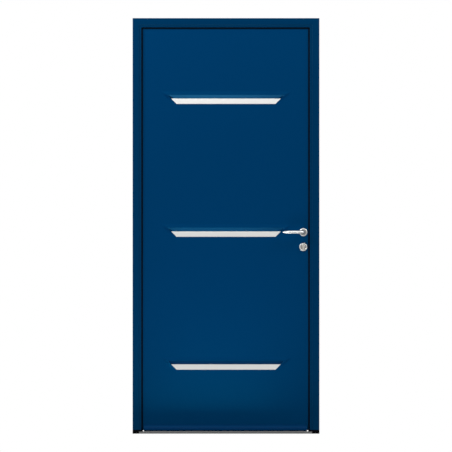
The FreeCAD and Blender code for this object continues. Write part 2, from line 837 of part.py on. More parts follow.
# Roses: round covers over the lever's neck and round the key cylinder
faces = {"outside": (leaf_front, -1), "inside": (leaf_back, 1)}
for side, (face, outward) in faces.items():
    crown = f"({face} + {outward} * rose_thickness)"
    low, high = ordered(face, crown)
    for name, height in (("handle", "handle_height"), ("key", key_rose_height)):
        rose = new_body(f"{side}_{name}_rose")
        centre = (handle_x, height)
        pad(rose, circle(rose, "XZ_Plane", centre, "rose_radius", f"-{high}"), span(low, high))
        if name == "handle":
            cut_round(rose, height, "neck_radius + neck_play", low, high, "NeckHole")
        else:
            cut_cylinder(rose, "0", low, high)

for piece, low, high in (
    (outer_skin, leaf_front, skin_front),
    (lock_stile, skin_front, skin_back),
    (inner_skin, skin_back, leaf_back),
):
    cut_cylinder(piece, "cylinder_play", low, high)
    cut_round(piece, "handle_height", "spindle_hole", low, high, "Spindle")

# Levers: a round neck, a bent elbow and a grip that tapers to a blunt point, on a square spindle
spindle_low = f"({leaf_front} - rose_thickness)"
spindle_high = f"({leaf_back} + rose_thickness)"
spindle_section = square(handle_x, "handle_height", "spindle_side / 2", "spindle_side / 2")
spindle = new_body("spindle")
spindle_outline = outline(spindle, "XZ_Plane", spindle_section, f"-{spindle_high}")
pad(spindle, spindle_outline, span(spindle_low, spindle_high))

for side, (face, outward) in faces.items():
    root = f"({face} + {outward} * skin)"
    bend = f"({face} + {outward} * (lever_stand - lever_bend))"
    grip = f"({face} + {outward} * lever_stand)"
    spindle_end = spindle_low if outward < 0 else spindle_high
    body = new_body(f"{side}_lever")
    low, high = ordered(root, bend)
    neck = circle(body, "XZ_Plane", (handle_x, "handle_height"), "neck_radius", f"-{high}", "Neck")
    pad(body, neck, span(low, high))
    elbow_corner = (f"({handle_x} - lever_bend)", "handle_height")
    elbow_sections = []
    for step in range(ELBOW_STEPS + 1):
        section = circle(
            body,
            "XZ_Plane",
            ("lever_bend", "0"),
            "neck_radius",
            f"-{bend}",
            f"Elbow{step}",
            elbow_corner,
            outward * 90 * step / ELBOW_STEPS,
        )
        elbow_sections.append(section)
    loft_through(body, elbow_sections, "ElbowLoft")
    tip = f"({handle_x} - lever_length)"
    stations = [
        (f"({handle_x} - lever_bend)", "neck_radius"),
        (f"({tip} + lever_taper)", "neck_radius"),
        (f"({tip} + lever_nose_bevel)", "lever_nose"),
        (tip, "lever_nose - lever_nose_bevel"),
    ]
    grip_sections = []
    grip_centre = (grip, "handle_height")
    for step, (place, radius) in enumerate(stations):
        grip_sections.append(circle(body, "YZ_Plane", grip_centre, radius, place, f"Grip{step}"))
    loft_through(body, grip_sections, "GripLoft")
    low, high = ordered(root, spindle_end)
    socket = outline(body, "XZ_Plane", spindle_section, f"-{high}", "Socket")
    pocket(body, socket, span(low, high), "SocketPocket")

# Every feature and every piece is tested before any file is written
doc.recompute()
for item in doc.Objects:
    if {"Invalid", "Error"} & set(item.State):
        raise RuntimeError(f"{item.Label} failed: {item.State}")
bodies = [item for item in doc.Objects if item.TypeId == "PartDesign::Body"]
for body in bodies:
    if body.Shape.isNull() or not body.Shape.isValid() or len(body.Shape.Solids) != 1:
        raise RuntimeError(f"{body.Label} has no valid single solid")
os.makedirs("parts", exist_ok=True)
for body in bodies:
    body.Shape.exportStep(f"parts/{body.Label}.step")
    print(f"{body.Label}: {body.Shape.Volume / 1000:.1f} cm3")
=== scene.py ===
import math

import bmesh
import bpy
from mathutils import Matrix, Vector


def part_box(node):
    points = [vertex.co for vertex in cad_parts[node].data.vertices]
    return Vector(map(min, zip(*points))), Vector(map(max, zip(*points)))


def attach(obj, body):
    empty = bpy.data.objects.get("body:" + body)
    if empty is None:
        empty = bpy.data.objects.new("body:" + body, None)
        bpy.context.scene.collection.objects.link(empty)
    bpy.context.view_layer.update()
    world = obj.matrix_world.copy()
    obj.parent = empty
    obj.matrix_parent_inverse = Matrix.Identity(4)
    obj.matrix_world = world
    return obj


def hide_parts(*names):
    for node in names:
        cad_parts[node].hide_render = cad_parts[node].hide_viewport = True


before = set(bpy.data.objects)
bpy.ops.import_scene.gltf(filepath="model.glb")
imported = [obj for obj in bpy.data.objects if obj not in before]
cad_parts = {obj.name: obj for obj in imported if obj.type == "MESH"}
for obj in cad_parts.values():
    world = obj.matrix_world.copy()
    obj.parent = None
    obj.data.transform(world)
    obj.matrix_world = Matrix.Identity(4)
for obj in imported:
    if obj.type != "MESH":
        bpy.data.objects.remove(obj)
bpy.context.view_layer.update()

# Threshold
# The real piece is one aluminium extrusion, natural anodised, that slopes to the outside and has
# tread grooves on the room side. It is sawn to length and stands between the two feet.
MM = 0.001
FRAME_FRONT, FRAME_BACK = -32.0, 32.0
REBATE_LEFT, REBATE_RIGHT, REBATE_TOP = -456.5, 452.0, 2144.0
SILL_TOP, SILL_NOSE, SILL_SLOPE = 12.0, 10.5, 14.0
GROOVE_BACKS, GROOVE_WIDTH, GROOVE_DEPTH = (26.0, 19.0, 12.0), 3.0, 1.0
ARC_STEP = math.radians(15)
MERGE_WITHIN = 0.002


def arc(u, v, radius, first, sweep, steps):
    """Points about (u, v), from the first angle over the sweep, with both ends."""
    angles = [first + sweep * step / steps for step in range(steps + 1)]
    return [(u + radius * math.cos(angle), v + radius * math.sin(angle)) for angle in angles]


def circle(u, v, radius, steps):
    return arc(u, v, radius, 0, 2 * math.pi, steps)[:-1]


def rounded(corners):
    """A closed outline in millimetres from (u, v, radius) corners."""
    outline = []
    for index, (u, v, radius) in enumerate(corners):
        here = Vector((u, v))
        before = (Vector(corners[index - 1][:2]) - here).normalized()
        after = (Vector(corners[(index + 1) % len(corners)][:2]) - here).normalized()
        if not radius:
            outline.append((u, v))
            continue
        half = before.angle(after) / 2
        centre = here + (before + after).normalized() * radius / math.sin(half)
        start = here + before * radius / math.tan(half) - centre
        stop = here + after * radius / math.tan(half) - centre
        first = math.atan2(start.y, start.x)
        sweep = (math.atan2(stop.y, stop.x) - first + math.pi) % (2 * math.pi) - math.pi
        steps = max(2, round(abs(sweep) / ARC_STEP))
        outline += arc(centre.x, centre.y, radius, first, sweep, steps)
    return outline


def oriented(along, u, v, w):
    """The point with outline coordinates u and v, at w along the axis x, y or z."""
    places = {"x": (w, u, v), "y": (u, w, v), "z": (u, v, w)}
    return Vector(places[along]) * MM


def bridged(shape, rings, capped=True):
    """Join each closed ring of points to the next, and close the first and the last."""
    for first, second in zip(rings, rings[1:]):
        for index in range(len(first)):
            after = (index + 1) % len(first)
            shape.faces.new((first[index], first[after], second[after], second[index]))
    if capped:
        shape.faces.new(rings[0])
        shape.faces.new(rings[-1])


def extruded(shape, outline, along, low, high):
    """A bar of that outline. An end may be a function of the outline's coordinates, as at a mitre."""
    rings = []
    for end in (low, high):
        level = end if callable(end) else lambda u, v, fixed=end: fixed
        rings.append([shape.verts.new(oriented(along, u, v, level(u, v))) for u, v in outline])
    bridged(shape, rings)


def softened(shape, width, angle=50):
    """Round every edge that is sharper than the angle."""
    bmesh.ops.recalc_face_normals(shape, faces=shape.faces)
    limit = math.radians(angle)
    sharp = [edge for edge in shape.edges if edge.is_manifold and edge.calc_face_angle() > limit]
    bmesh.ops.bevel(
        shape,
        geom=sharp,
        offset=width * MM,
        segments=2,
        profile=0.5,
        affect="EDGES",
        clamp_overlap=True,
    )


def applied(made):
    """Turn the object's modifiers into its mesh."""
    graph = bpy.context.evaluated_depsgraph_get()
    plain = bpy.data.meshes.new_from_object(made.evaluated_get(graph), depsgraph=graph)
    made.modifiers.clear()
    made.data = plain
    return made


def evened(made):
    """Let the large flats lead the shading, so that only the rounded edges look round."""
    lead = made.modifiers.new("flats_lead", "WEIGHTED_NORMAL")
    lead.keep_sharp = True
    return applied(made)


def smoothed(made, angle):
    """Shade smooth, up to the edges that are sharper than the angle."""
    made.data.shade_smooth()
    made.data.set_sharp_from_angle(angle=math.radians(angle))
    return evened(made)


def scene_object(name, data):
    """An object at the origin for a mesh, lamp or camera."""
    made = bpy.data.objects.new(name, data)
    bpy.context.scene.collection.objects.link(made)
    return made


def shape_object(shape, name, finish):
    mesh = bpy.data.meshes.new(name)
    shape.to_mesh(mesh)
    shape.free()
    mesh.materials.append(finish)
    return scene_object(name, mesh)


def mesh_object(shape, name, finish, smooth_angle=35):
    """A smooth object with its doubles merged and its faces turned outwards."""
    bmesh.ops.remove_doubles(shape, verts=shape.verts, dist=MERGE_WITHIN * MM)
    bmesh.ops.recalc_face_normals(shape, faces=shape.faces)
    return smoothed(shape_object(shape, name, finish), smooth_angle)


def bar_object(name, finish, outline, along, low, high):
    shape = bmesh.new()
    extruded(shape, outline, along, low, high)
    return mesh_object(shape, name, finish)


def fitted(made, body, slot, *nodes):
    """Hand a finished piece to the body it moves with, in place of the solids it stands for."""
    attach(made, body)
    if nodes:
        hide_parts(*nodes)


def node_group(name, inputs, outputs):
    """An empty shader group with named sockets, each given as name, type and default value."""
    group = bpy.data.node_groups.new(name, "ShaderNodeTree")
    for label, kind, default in inputs:
        socket = group.interface.new_socket(label, in_out="INPUT", socket_type=kind)
        socket.default_value = default
    for label in outputs:
        group.interface.new_socket(label, in_out="OUTPUT", socket_type="NodeSocketFloat")
    return group, group.nodes.new("NodeGroupInput"), group.nodes.new("NodeGroupOutput")


def new_node(tree, kind, values=(), **settings):
    """A node with its settings made and the values of its free inputs filled in."""
    made = tree.nodes.new(kind)
    for name, setting in settings.items():
        setattr(made, name, setting)
    for name, value in dict(values).items():
        made.inputs[name].default_value = value
    return made


def wire(tree, *wires):
    """Join nodes, each wire given as source, output, target and input."""
    for source, output, target, name in wires:
        tree.links.new(source.outputs[output], target.inputs[name])


def shader_of(finish):
    return finish.node_tree.nodes["Principled BSDF"]


def drawn_grain_group():
    """Fine lines that follow a draw or brush direction: a height and a tone from 0 to 1."""
    stretched = ("Stretch", "NodeSocketVector", (1.0, 1.0, 1.0))
    group, given, result = node_group("drawn_grain", [stretched], ("Height", "Tone"))
    place = new_node(group, "ShaderNodeTexCoord")
    stretch = new_node(group, "ShaderNodeVectorMath", operation="MULTIPLY")
    lines = new_node(group, "ShaderNodeTexNoise", {"Scale": 1.0, "Detail": 4.0, "Roughness": 0.65})
    broad = new_node(group, "ShaderNodeTexNoise", {"Scale": 0.12})
    wire(
        group,
        (place, "Object", stretch, 0),
        (given, "Stretch", stretch, 1),
        (stretch, "Vector", lines, "Vector"),
        (stretch, "Vector", broad, "Vector"),
        (lines, "Fac", result, "Height"),
        (broad, "Fac", result, "Tone"),
    )
    return group


drawn_grain = drawn_grain_group()


def edge_wear_group():
    """Where hands and tools have rubbed the outer edges: a mask from 0 to 1, broken up by noise."""
    width = ("Edge Width", "NodeSocketFloat", 0.0008)
    group, given, result = node_group("edge_wear", [width], ("Wear",))
    rounded_off = new_node(group, "ShaderNodeBevel", samples=4)
    surface = new_node(group, "ShaderNodeNewGeometry")
    likeness = new_node(group, "ShaderNodeVectorMath", operation="DOT_PRODUCT")
    edge = new_node(group, "ShaderNodeMapRange", {"From Min": 0.995, "From Max": 0.90})
    place = new_node(group, "ShaderNodeTexCoord")
    patches = new_node(group, "ShaderNodeTexNoise", {"Scale": 45.0, "Detail": 5.0})
    broken = new_node(group, "ShaderNodeMapRange", {"From Min": 0.42, "From Max": 0.62})
    wear = new_node(group, "ShaderNodeMath", operation="MULTIPLY")
    wire(
        group,
        (given, "Edge Width", rounded_off, "Radius"),
        (rounded_off, "Normal", likeness, 0),
        (surface, "Normal", likeness, 1),
        (likeness, "Value", edge, "Value"),
        (place, "Object", patches, "Vector"),
        (patches, "Fac", broken, "Value"),
        (edge, "Result", wear, 0),
        (broken, "Result", wear, 1),
        (wear, "Value", result, "Wear"),
    )
    return group


edge_wear = edge_wear_group()


def patterned(
    name, pattern, sizes, colour, spread, roughness, depth, rough_by, play, strength, gain, width
):
    """A finish whose tone, roughness and relief follow a pattern, paler by the gain on worn edges."""
    made = bpy.data.materials.new(name)
    made.use_nodes = True
    tree, shader = made.node_tree, shader_of(made)
    texture = new_node(tree, "ShaderNodeGroup", sizes, node_tree=pattern)
    dark = (*[part * (1 - spread) for part in colour], 1)
    pale = (*[min(part * (1 + spread), 1) for part in colour], 1)
    tint = new_node(tree, "ShaderNodeMix", {"A": dark, "B": pale}, data_type="RGBA")
    wear = new_node(tree, "ShaderNodeGroup", {"Edge Width": width}, node_tree=edge_wear)
    rubbed = new_node(tree, "ShaderNodeMix", data_type="RGBA", blend_type="MULTIPLY", clamp_result=True)
    rubbed.inputs["B"].default_value = (gain, gain, gain, 1)
    rough_ends = {"To Min": roughness * (1 - play), "To Max": roughness * (1 + play)}
    rough = new_node(tree, "ShaderNodeMapRange", rough_ends)
    bump = new_node(tree, "ShaderNodeBump", {"Strength": strength, "Distance": depth})
    wire(
        tree,
        (texture, "Tone", tint, "Factor"),
        (wear, "Wear", rubbed, "Factor"),
        (tint, "Result", rubbed, "A"),
        (rubbed, "Result", shader, "Base Color"),
        (texture, rough_by, rough, "Value"),
        (rough, "Result", shader, "Roughness"),
        (texture, "Height", bump, "Height"),
        (bump, "Normal", shader, "Normal"),
    )
    return made


METAL_TOUCH = {"rough_by": "Height", "play": 0.15, "strength": 0.35, "gain": 1.25, "width": 0.0008}


def drawn_metal(name, colour, roughness, stretch, spread=0.12, depth=0.00002):
    """A bare metal with fine lines along its draw direction and brighter, rubbed edges."""
    sizes = {"Stretch": stretch}
    made = patterned(name, drawn_grain, sizes, colour, spread, roughness, depth, **METAL_TOUCH)
    shader_of(made).inputs["Metallic"].default_value = 1.0
    return made


# The grey is much darker than natural anodised aluminium: partly the metal's own grey, mostly painted
# shade for the shadow of the weather bar.
sill_aluminium = drawn_metal("sill_aluminium", (0.17, 0.17, 0.17), 0.45, (3.0, 900.0, 900.0))
sill_corners = [(FRAME_FRONT, 0, 0.4), (FRAME_BACK, 0, 0.4), (FRAME_BACK, SILL_TOP, 1.0)]
for back in GROOVE_BACKS:
    front, bed = back - GROOVE_WIDTH, SILL_TOP - GROOVE_DEPTH
    for depth, height in ((back, SILL_TOP), (back, bed), (front, bed), (front, SILL_TOP)):
        sill_corners.append((depth, height, 0.3))
sill_corners += [(FRAME_FRONT + SILL_SLOPE, SILL_TOP, 6.0), (FRAME_FRONT, SILL_NOSE, 1.5)]
sill_ends = REBATE_LEFT, REBATE_RIGHT
threshold = bar_object("threshold_extrusion", sill_aluminium, rounded(sill_corners), "x", *sill_ends)
fitted(threshold, "frame", "sill_aluminium", "threshold")

# Feet
# Each jamb stands on a moulded black plastic foot, which keeps the steel off the wet floor. A
# tongue on the foot fills the gap under the jamb's lip, over the end of the threshold.
FOOT_HEIGHT = 20.0
FRAME_LEFT, FRAME_RIGHT, FRAME_TOP = -490.0, 490.0, 2180.0
LIP_WIDTH = 12.5
LIP_FRONT, LIP_BACK = FRAME_FRONT + 4.0, FRAME_FRONT + 15.0
TONGUE_ROOT = 4.0
EDGE_ROUND = 0.4
# Each side of the frame: its name, outer face, rebate face and the direction to the leaf.
SIDES = (("hinge_side", FRAME_LEFT, REBATE_LEFT, 1), ("lock_side", FRAME_RIGHT, REBATE_RIGHT, -1))


def fine_texture_group():
    """The fine relief of a coated or moulded surface, and its broad change of tone."""
    sizes = [("Grain Size", "NodeSocketFloat", 0.001), ("Patch Size", "NodeSocketFloat", 0.3)]
    group, given, result = node_group("fine_texture", sizes, ("Height", "Tone"))
    place = new_node(group, "ShaderNodeTexCoord")
    for source, target, detail in (("Grain Size", "Height", 3.0), ("Patch Size", "Tone", 4.0)):
        inverse = new_node(group, "ShaderNodeMath", {0: 1.0}, operation="DIVIDE")
        noise = new_node(group, "ShaderNodeTexNoise", {"Detail": detail})
        wire(
            group,
            (given, source, inverse, 1),
            (inverse, "Value", noise, "Scale"),
            (place, "Object", noise, "Vector"),
            (noise, "Fac", result, target),
        )
    return group


fine_texture = fine_texture_group()


COAT_TOUCH = {"rough_by": "Tone", "play": 0.08, "strength": 0.4, "gain": 1.5, "width": 0.0012}


def coated(name, colour, roughness, grain_size, gloss=0.5, patch_size=0.3, spread=0.05, depth=0.00003):
    """A paint, plastic, rubber or foam with its own fine relief."""
    sizes = {"Grain Size": grain_size, "Patch Size": patch_size}
    made = patterned(name, fine_texture, sizes, colour, spread, roughness, depth, **COAT_TOUCH)
    shader_of(made).inputs["Specular IOR Level"].default_value = gloss
    return made


def box_outline(first, second, low, high, radius):
    left, right = sorted((first, second))
    corners = ((left, low), (right, low), (right, high), (left, high))
    return rounded([(u, v, radius) for u, v in corners])


foot_plastic = coated("foot_plastic", (0.003, 0.003, 0.0035), 0.6, 0.0006, 0.02, depth=0.00005)
for side, outer, rebate, inward in SIDES:
    shape = bmesh.new()
    block_outline = box_outline(outer, rebate, FRAME_FRONT, FRAME_BACK, radius=2.0)
    extruded(shape, block_outline, "z", 0, FOOT_HEIGHT)
    root, tip = rebate - inward * TONGUE_ROOT, rebate + inward * LIP_WIDTH
    tongue_outline = box_outline(root, tip, LIP_FRONT, LIP_BACK, radius=1.0)
    extruded(shape, tongue_outline, "z", SILL_TOP, FOOT_HEIGHT)
    softened(shape, EDGE_ROUND)
    foot = mesh_object(shape, f"foot_{side}_moulding", foot_plastic)
    fitted(foot, "frame", "black_plastic", f"foot_{side}")

# Frame
# Jambs and head are roll-formed steel tubes, welded at mitred corners and powder coated. Their
# set-back lip covers the leaf's edge, and each jamb has four holes for wall screws.
TUBE_ROUND = 2.5
FIXING_END, FIXING_DEPTH, FIXING_RADIUS = 330.0, 9.0, 4.0
FIXING_HEIGHTS = [FIXING_END + step * (FRAME_TOP - 2 * FIXING_END) / 3 for step in range(4)]
CUT_PAST, BOLT_PLAY, STRIKE_WELL = 5.0, 3.0, 22.0
# The lower bolt, dead bolt, latch and upper bolt: middle height, height and thickness of each.
BOLTS = ((357.0, 28.0, 14.0), (961.0, 36.0, 14.0), (1087.0, 32.0, 12.0), (1757.0, 28.0, 14.0))


def powder_coat(name, colour, roughness=0.33, gloss=0.8, patch_size=0.5):
    """Satin blue polyester powder: the gloss is tinted, so that the blue stays deep."""
    made = coated(name, colour, roughness, 0.0014, gloss, patch_size, spread=0.03, depth=0.00002)
    shader_of(made).inputs["Specular Tint"].default_value = (0.0, 0.3, 0.62, 1)
    return made


# A darker copy of the leaf's blue: painted shade on the jambs and head, which carry the same powder coat
# as the leaf.
shaded_frame_paint = powder_coat("shaded_frame_paint", (0.0, 0.0150, 0.0590))


def tube_outline(outer, rebate, inward):
    lip = rebate + inward * LIP_WIDTH
    corners = [(outer, FRAME_FRONT, TUBE_ROUND), (rebate, FRAME_FRONT, TUBE_ROUND)]
    corners += [(rebate, LIP_FRONT, 0.8), (lip, LIP_FRONT, 1.5), (lip, LIP_BACK, 1.0)]
    corners += [(rebate, LIP_BACK, 1.0), (rebate, FRAME_BACK, TUBE_ROUND)]
    return rounded([*corners, (outer, FRAME_BACK, TUBE_ROUND)])


def mitre_height(outer, rebate, inward):
    """The height at which a jamb meets the head, by distance across the frame."""
    slope = (FRAME_TOP - REBATE_TOP) / abs(rebate - outer)

    def height(across, depth):
        inside = (across - rebate) * inward
        return REBATE_TOP - inside * (1 if inside > 0 else slope)

    return height


def mitre_across(outer, rebate, inward):
    """How far the head reaches to one side, by height."""
    slope = abs(rebate - outer) / (FRAME_TOP - REBATE_TOP)

    def across(depth, height):
        inside = REBATE_TOP - height
        return rebate + inward * inside * (1 if inside > 0 else slope)

    return across


def cut_through(made, holes, along):
    """Cut holes, each given by its outline and the two levels between which it runs."""
    cutter_shape = bmesh.new()
    for outline, low, high in holes:
        extruded(cutter_shape, outline, along, low, high)
    cutter = mesh_object(cutter_shape, "hole_cutter", made.data.materials[0])
    cut = made.modifiers.new("holes", "BOOLEAN")
    cut.operation = "DIFFERENCE"
    cut.solver = "EXACT"
    cut.object = cutter
    applied(made)
    bpy.data.objects.remove(cutter)
    evened(made)


def bolt_opening(height, tall, thick):
    """The opening for a latch or bolt, with play all round."""
    near, low = FIXING_DEPTH - thick / 2 - BOLT_PLAY, height - tall / 2 - BOLT_PLAY
    far, high = FIXING_DEPTH + thick / 2 + BOLT_PLAY, height + tall / 2 + BOLT_PLAY
    return [(near, low), (far, low), (far, high), (near, high)]


for side, outer, rebate, inward in SIDES:
    outline, top = tube_outline(outer, rebate, inward), mitre_height(outer, rebate, inward)
    jamb = bar_object(f"jamb_{side}_tube", shaded_frame_paint, outline, "z", FOOT_HEIGHT, top)
    low, high = min(outer, rebate) - CUT_PAST, max(outer, rebate) + CUT_PAST
    holes = [(circle(FIXING_DEPTH, height, FIXING_RADIUS, 32), low, high) for height in FIXING_HEIGHTS]
    if side == "lock_side":
        holes += [(bolt_opening(*bolt), rebate - CUT_PAST, rebate + STRIKE_WELL) for bolt in BOLTS]
    cut_through(jamb, holes, "x")
    fitted(jamb, "frame", "blue_paint", f"frame_jamb_{side}")
head_outline = [(depth, height) for height, depth in tube_outline(FRAME_TOP, REBATE_TOP, -1)]
hinge_end, lock_end = [mitre_across(outer, rebate, inward) for _, outer, rebate, inward in SIDES]
head = bar_object("head_tube", shaded_frame_paint, head_outline, "x", hinge_end, lock_end)
fitted(head, "frame", "blue_paint", "frame_head")

# Gaskets
# A black rubber bulb is pressed on behind the lip, on three sides. The leaf closes against it,
# and it shows from outside as the dark line between the frame and the leaf.
LEAF_FRONT, LEAF_BACK = FRAME_FRONT + 18.0, FRAME_BACK
BULB_SEAT, BULB_REACH, BULB_FRONT, BULB_CLEAR = 7.0, 8.0, 5.0, 0.4
NOSE_ACROSS, NOSE_DEEP, NOSE_ROUND = 3.5, 3.2, 2.5
gasket_rubber = coated("gasket_rubber", (0.002, 0.0035, 0.006), 0.7, 0.0008, 0.03)


def gasket_outline(rebate, inward):
    lip = rebate + inward * LIP_WIDTH
    seat = lip - inward * BULB_SEAT
    tip = lip + inward * BULB_REACH
    nose = LIP_BACK - BULB_FRONT
    touch = LEAF_FRONT - BULB_CLEAR
    corners = [(seat, LIP_BACK, 0), (lip, LIP_BACK, 0.4), (lip, nose, 1.2)]
    corners += [(lip + inward * NOSE_ACROSS, nose, NOSE_ROUND), (tip, nose + NOSE_DEEP, NOSE_ROUND)]
    return rounded([*corners, (tip, touch, 0.8), (seat, touch, 0)])


for side, outer, rebate, inward in SIDES:
    outline, top = gasket_outline(rebate, inward), mitre_height(outer, rebate, inward)
    gasket = bar_object(f"gasket_{side}_bulb", gasket_rubber, outline, "z", SILL_TOP, top)
    fitted(gasket, "frame", "black_rubber", f"gasket_{side}")
outline = [(depth, height) for height, depth in gasket_outline(REBATE_TOP, -1)]
gasket = bar_object("gasket_head_bulb", gasket_rubber, outline, "x", hinge_end, lock_end)
fitted(gasket, "frame", "black_rubber", "gasket_head")

# Strike plates
# Three zinc-plated steel plates on the lock-side jamb take the latch and the bolts. Each is held
# by countersunk screws, which are set out in a row.
STRIKE_INSET, SCREW_SEAT = 9.0, 0.05
HEAD_RISE, HEAD_FLAT, RECESS_SHARE = 0.6, 0.93, 0.45
lock_steel = drawn_metal("lock_steel", (0.52, 0.52, 0.52), 0.33, (900.0, 900.0, 6.0))
screw_steel = drawn_metal("screw_steel", (0.56, 0.56, 0.55), 0.3, (900.0, 900.0, 900.0))


def recessed_disc(shape, radius, recess, depth, steps=32):
    """A low round head, open at the back, with a sunk recess whose reach is given by angle."""
    bands = (
        (lambda a: radius, 0.0),
        (lambda a: radius, HEAD_RISE * 0.5),
        (lambda a: radius * HEAD_FLAT, HEAD_RISE),
        (recess, HEAD_RISE),
        (recess, HEAD_RISE - depth),
    )
    rings = []
    for reach, level in bands:
        ring = []
        for step in range(steps):
            angle = 2 * math.pi * step / steps
            across, up = reach(angle) * math.cos(angle), reach(angle) * math.sin(angle)
            ring.append(shape.verts.new(Vector((across, up, level)) * MM))
        rings.append(ring)
    bridged(shape, rings)


def cross_reach(angle, arm=0.62, half_width=0.16):
    """The reach of a cross recess on a head of radius 1."""
    c, s = max(abs(math.cos(angle)), 1e-6), max(abs(math.sin(angle)), 1e-6)
    return max(min(arm / c, half_width / s), min(half_width / c, arm / s))


def hexagon_reach(angle, half_width=0.55):
    """The reach of a hexagon socket in a head of radius 1."""
    sixth = math.pi / 3
    return half_width / math.cos((angle + sixth / 2) % sixth - sixth / 2)


def screw_head(radius, recess):
    shape = bmesh.new()
    recessed_disc(shape, radius, lambda angle: radius * recess(angle), radius * RECESS_SHARE)
    return mesh_object(shape, "screw_head", screw_steel, 25)


def screw_row_tree():
    """Geometry nodes that set screw heads out in a straight row."""
    tree = bpy.data.node_groups.new("screw_row", "GeometryNodeTree")
    sockets = (
        ("Head", "NodeSocketObject"),
        ("Count", "NodeSocketInt"),
        ("First", "NodeSocketVector"),
        ("Spacing", "NodeSocketVector"),
        ("Facing", "NodeSocketRotation"),
        ("Steel", "NodeSocketMaterial"),
    )
    for label, kind in sockets:
        tree.interface.new_socket(label, in_out="INPUT", socket_type=kind)
    tree.interface.new_socket("Geometry", in_out="OUTPUT", socket_type="NodeSocketGeometry")
    given, result = new_node(tree, "NodeGroupInput"), new_node(tree, "NodeGroupOutput")
    row = new_node(tree, "GeometryNodeMeshLine")
    head = new_node(tree, "GeometryNodeObjectInfo")
    place = new_node(tree, "GeometryNodeInstanceOnPoints")
    real = new_node(tree, "GeometryNodeRealizeInstances")
    paint = new_node(tree, "GeometryNodeSetMaterial")
    wire(
        tree,
        (given, "Count", row, "Count"),
        (given, "First", row, "Start Location"),
        (given, "Spacing", row, "Offset"),
        (given, "Head", head, "Object"),
        (row, "Mesh", place, "Points"),
        (head, "Geometry", place, "Instance"),
        (given, "Facing", place, "Rotation"),
        (place, "Instances", real, "Geometry"),
        (real, "Geometry", paint, "Geometry"),
        (given, "Steel", paint, "Material"),
        (paint, "Geometry", result, "Geometry"),
    )
    return tree


screw_row = screw_row_tree()
FACING_LEFT, FACING_RIGHT, FACING_ROOM, FACING_DOWN = (0, -90, 0), (0, 90, 0), (-90, 0, 0), (180, 0, 0)


def screws(name, body, slot, radius, facing, rows, recess=cross_reach):
    """Screw heads for one body, in rows of count, first place and spacing in millimetres."""
    head = screw_head(radius, recess)
    parts = []
    for count, first, spacing in rows:
        part = scene_object(name, bpy.data.meshes.new(name))
        row = part.modifiers.new("row", "NODES")
        row.node_group = screw_row
        values = {
            "Head": head,
            "Count": count,
            "First": [number * MM for number in first],
            "Spacing": [number * MM for number in spacing],
            "Facing": [math.radians(number) for number in facing],
            "Steel": screw_steel,
        }
        for item in screw_row.interface.items_tree:
            if item.in_out == "INPUT":
                row[item.identifier] = values[item.name]
        parts.append(applied(part))
    shape = bmesh.new()
    for part in parts:
        shape.from_mesh(part.data)
        bpy.data.objects.remove(part)
    bpy.data.objects.remove(head)
    fitted(mesh_object(shape, name, screw_steel, 25), body, slot)


def dressed(node, finish):
    """Give a carried-over solid its finish."""
    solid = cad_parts[node]
    solid.data.materials.clear()
    solid.data.materials.append(finish)
    return [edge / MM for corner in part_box(node) for edge in corner]


strike_rows = []
for node in ("strike_plate_bottom", "strike_plate_middle", "strike_plate_top"):
    face, _, low, _, _, high = dressed(node, lock_steel)
    span = high - low - 2 * STRIKE_INSET
    strike_rows.append((2, (face - SCREW_SEAT, FIXING_DEPTH, low + STRIKE_INSET), (0, 0, span)))
screws("strike_screws", "frame", "lock_steel", 3.8, FACING_LEFT, strike_rows)

# Hinges
# Three plated steel hinges carry the leaf on the room side. Each frame half is a plate rolled
# round a fixed pin, the leaf half turns on it, and both are held by countersunk screws.
AXIS = (-454.0, 42.0)
HINGE_BASES = [250.0, 1080.0, 1910.0]
HINGE_HEIGHT, HALF_GAP = 100.0, 0.3
PLATE_THICK, PLATE_CORNER, PLATE_FAR, PLATE_NEAR = 3.0, 6.0, 32.0, 6.0
KNUCKLE, PIN, PIN_ROOT, PIN_ROUND = 8.0, 5.0, 2.0, 0.6
SCREW_OUT, SCREW_FIRST, SCREW_STEP = 20.0, 14.0, 36.0
hinge_steel = drawn_metal("hinge_steel", (0.52, 0.52, 0.51), 0.34, (700.0, 700.0, 20.0))


def turned(shape, profile, along, centre, steps=40):
    """A solid turned from (radius, height) points about an axis."""
    rings = []
    for radius, height in profile:
        ring = [oriented(along, u, v, height) for u, v in circle(*centre, radius, steps)]
        rings.append([shape.verts.new(place) for place in ring])
    bridged(shape, rings)


def knuckle(shape, low, high, edge=0.8):
    neck = KNUCKLE - edge
    profile = [(neck, low), (KNUCKLE, low + edge), (KNUCKLE, high - edge), (neck, high)]
    turned(shape, profile, "z", AXIS)


def hinge_plate(shape, far, near, base):
    """A plate whose two far corners are rounded."""
    left, right = sorted((far, near))
    radii = [PLATE_CORNER if x == far else 0.5 for x in (left, right, right, left)]
    heights = (base, base, base + HINGE_HEIGHT, base + HINGE_HEIGHT)
    outline = rounded(list(zip((left, right, right, left), heights, radii)))
    extruded(shape, outline, "y", FRAME_BACK, FRAME_BACK + PLATE_THICK)


def hinge_web(shape, near, low, high):
    """The rolled part that joins the plate to its knuckle."""
    outline = box_outline(near, AXIS[0], FRAME_BACK, FRAME_BACK + PLATE_THICK, 0)
    extruded(shape, outline, "z", low, high)


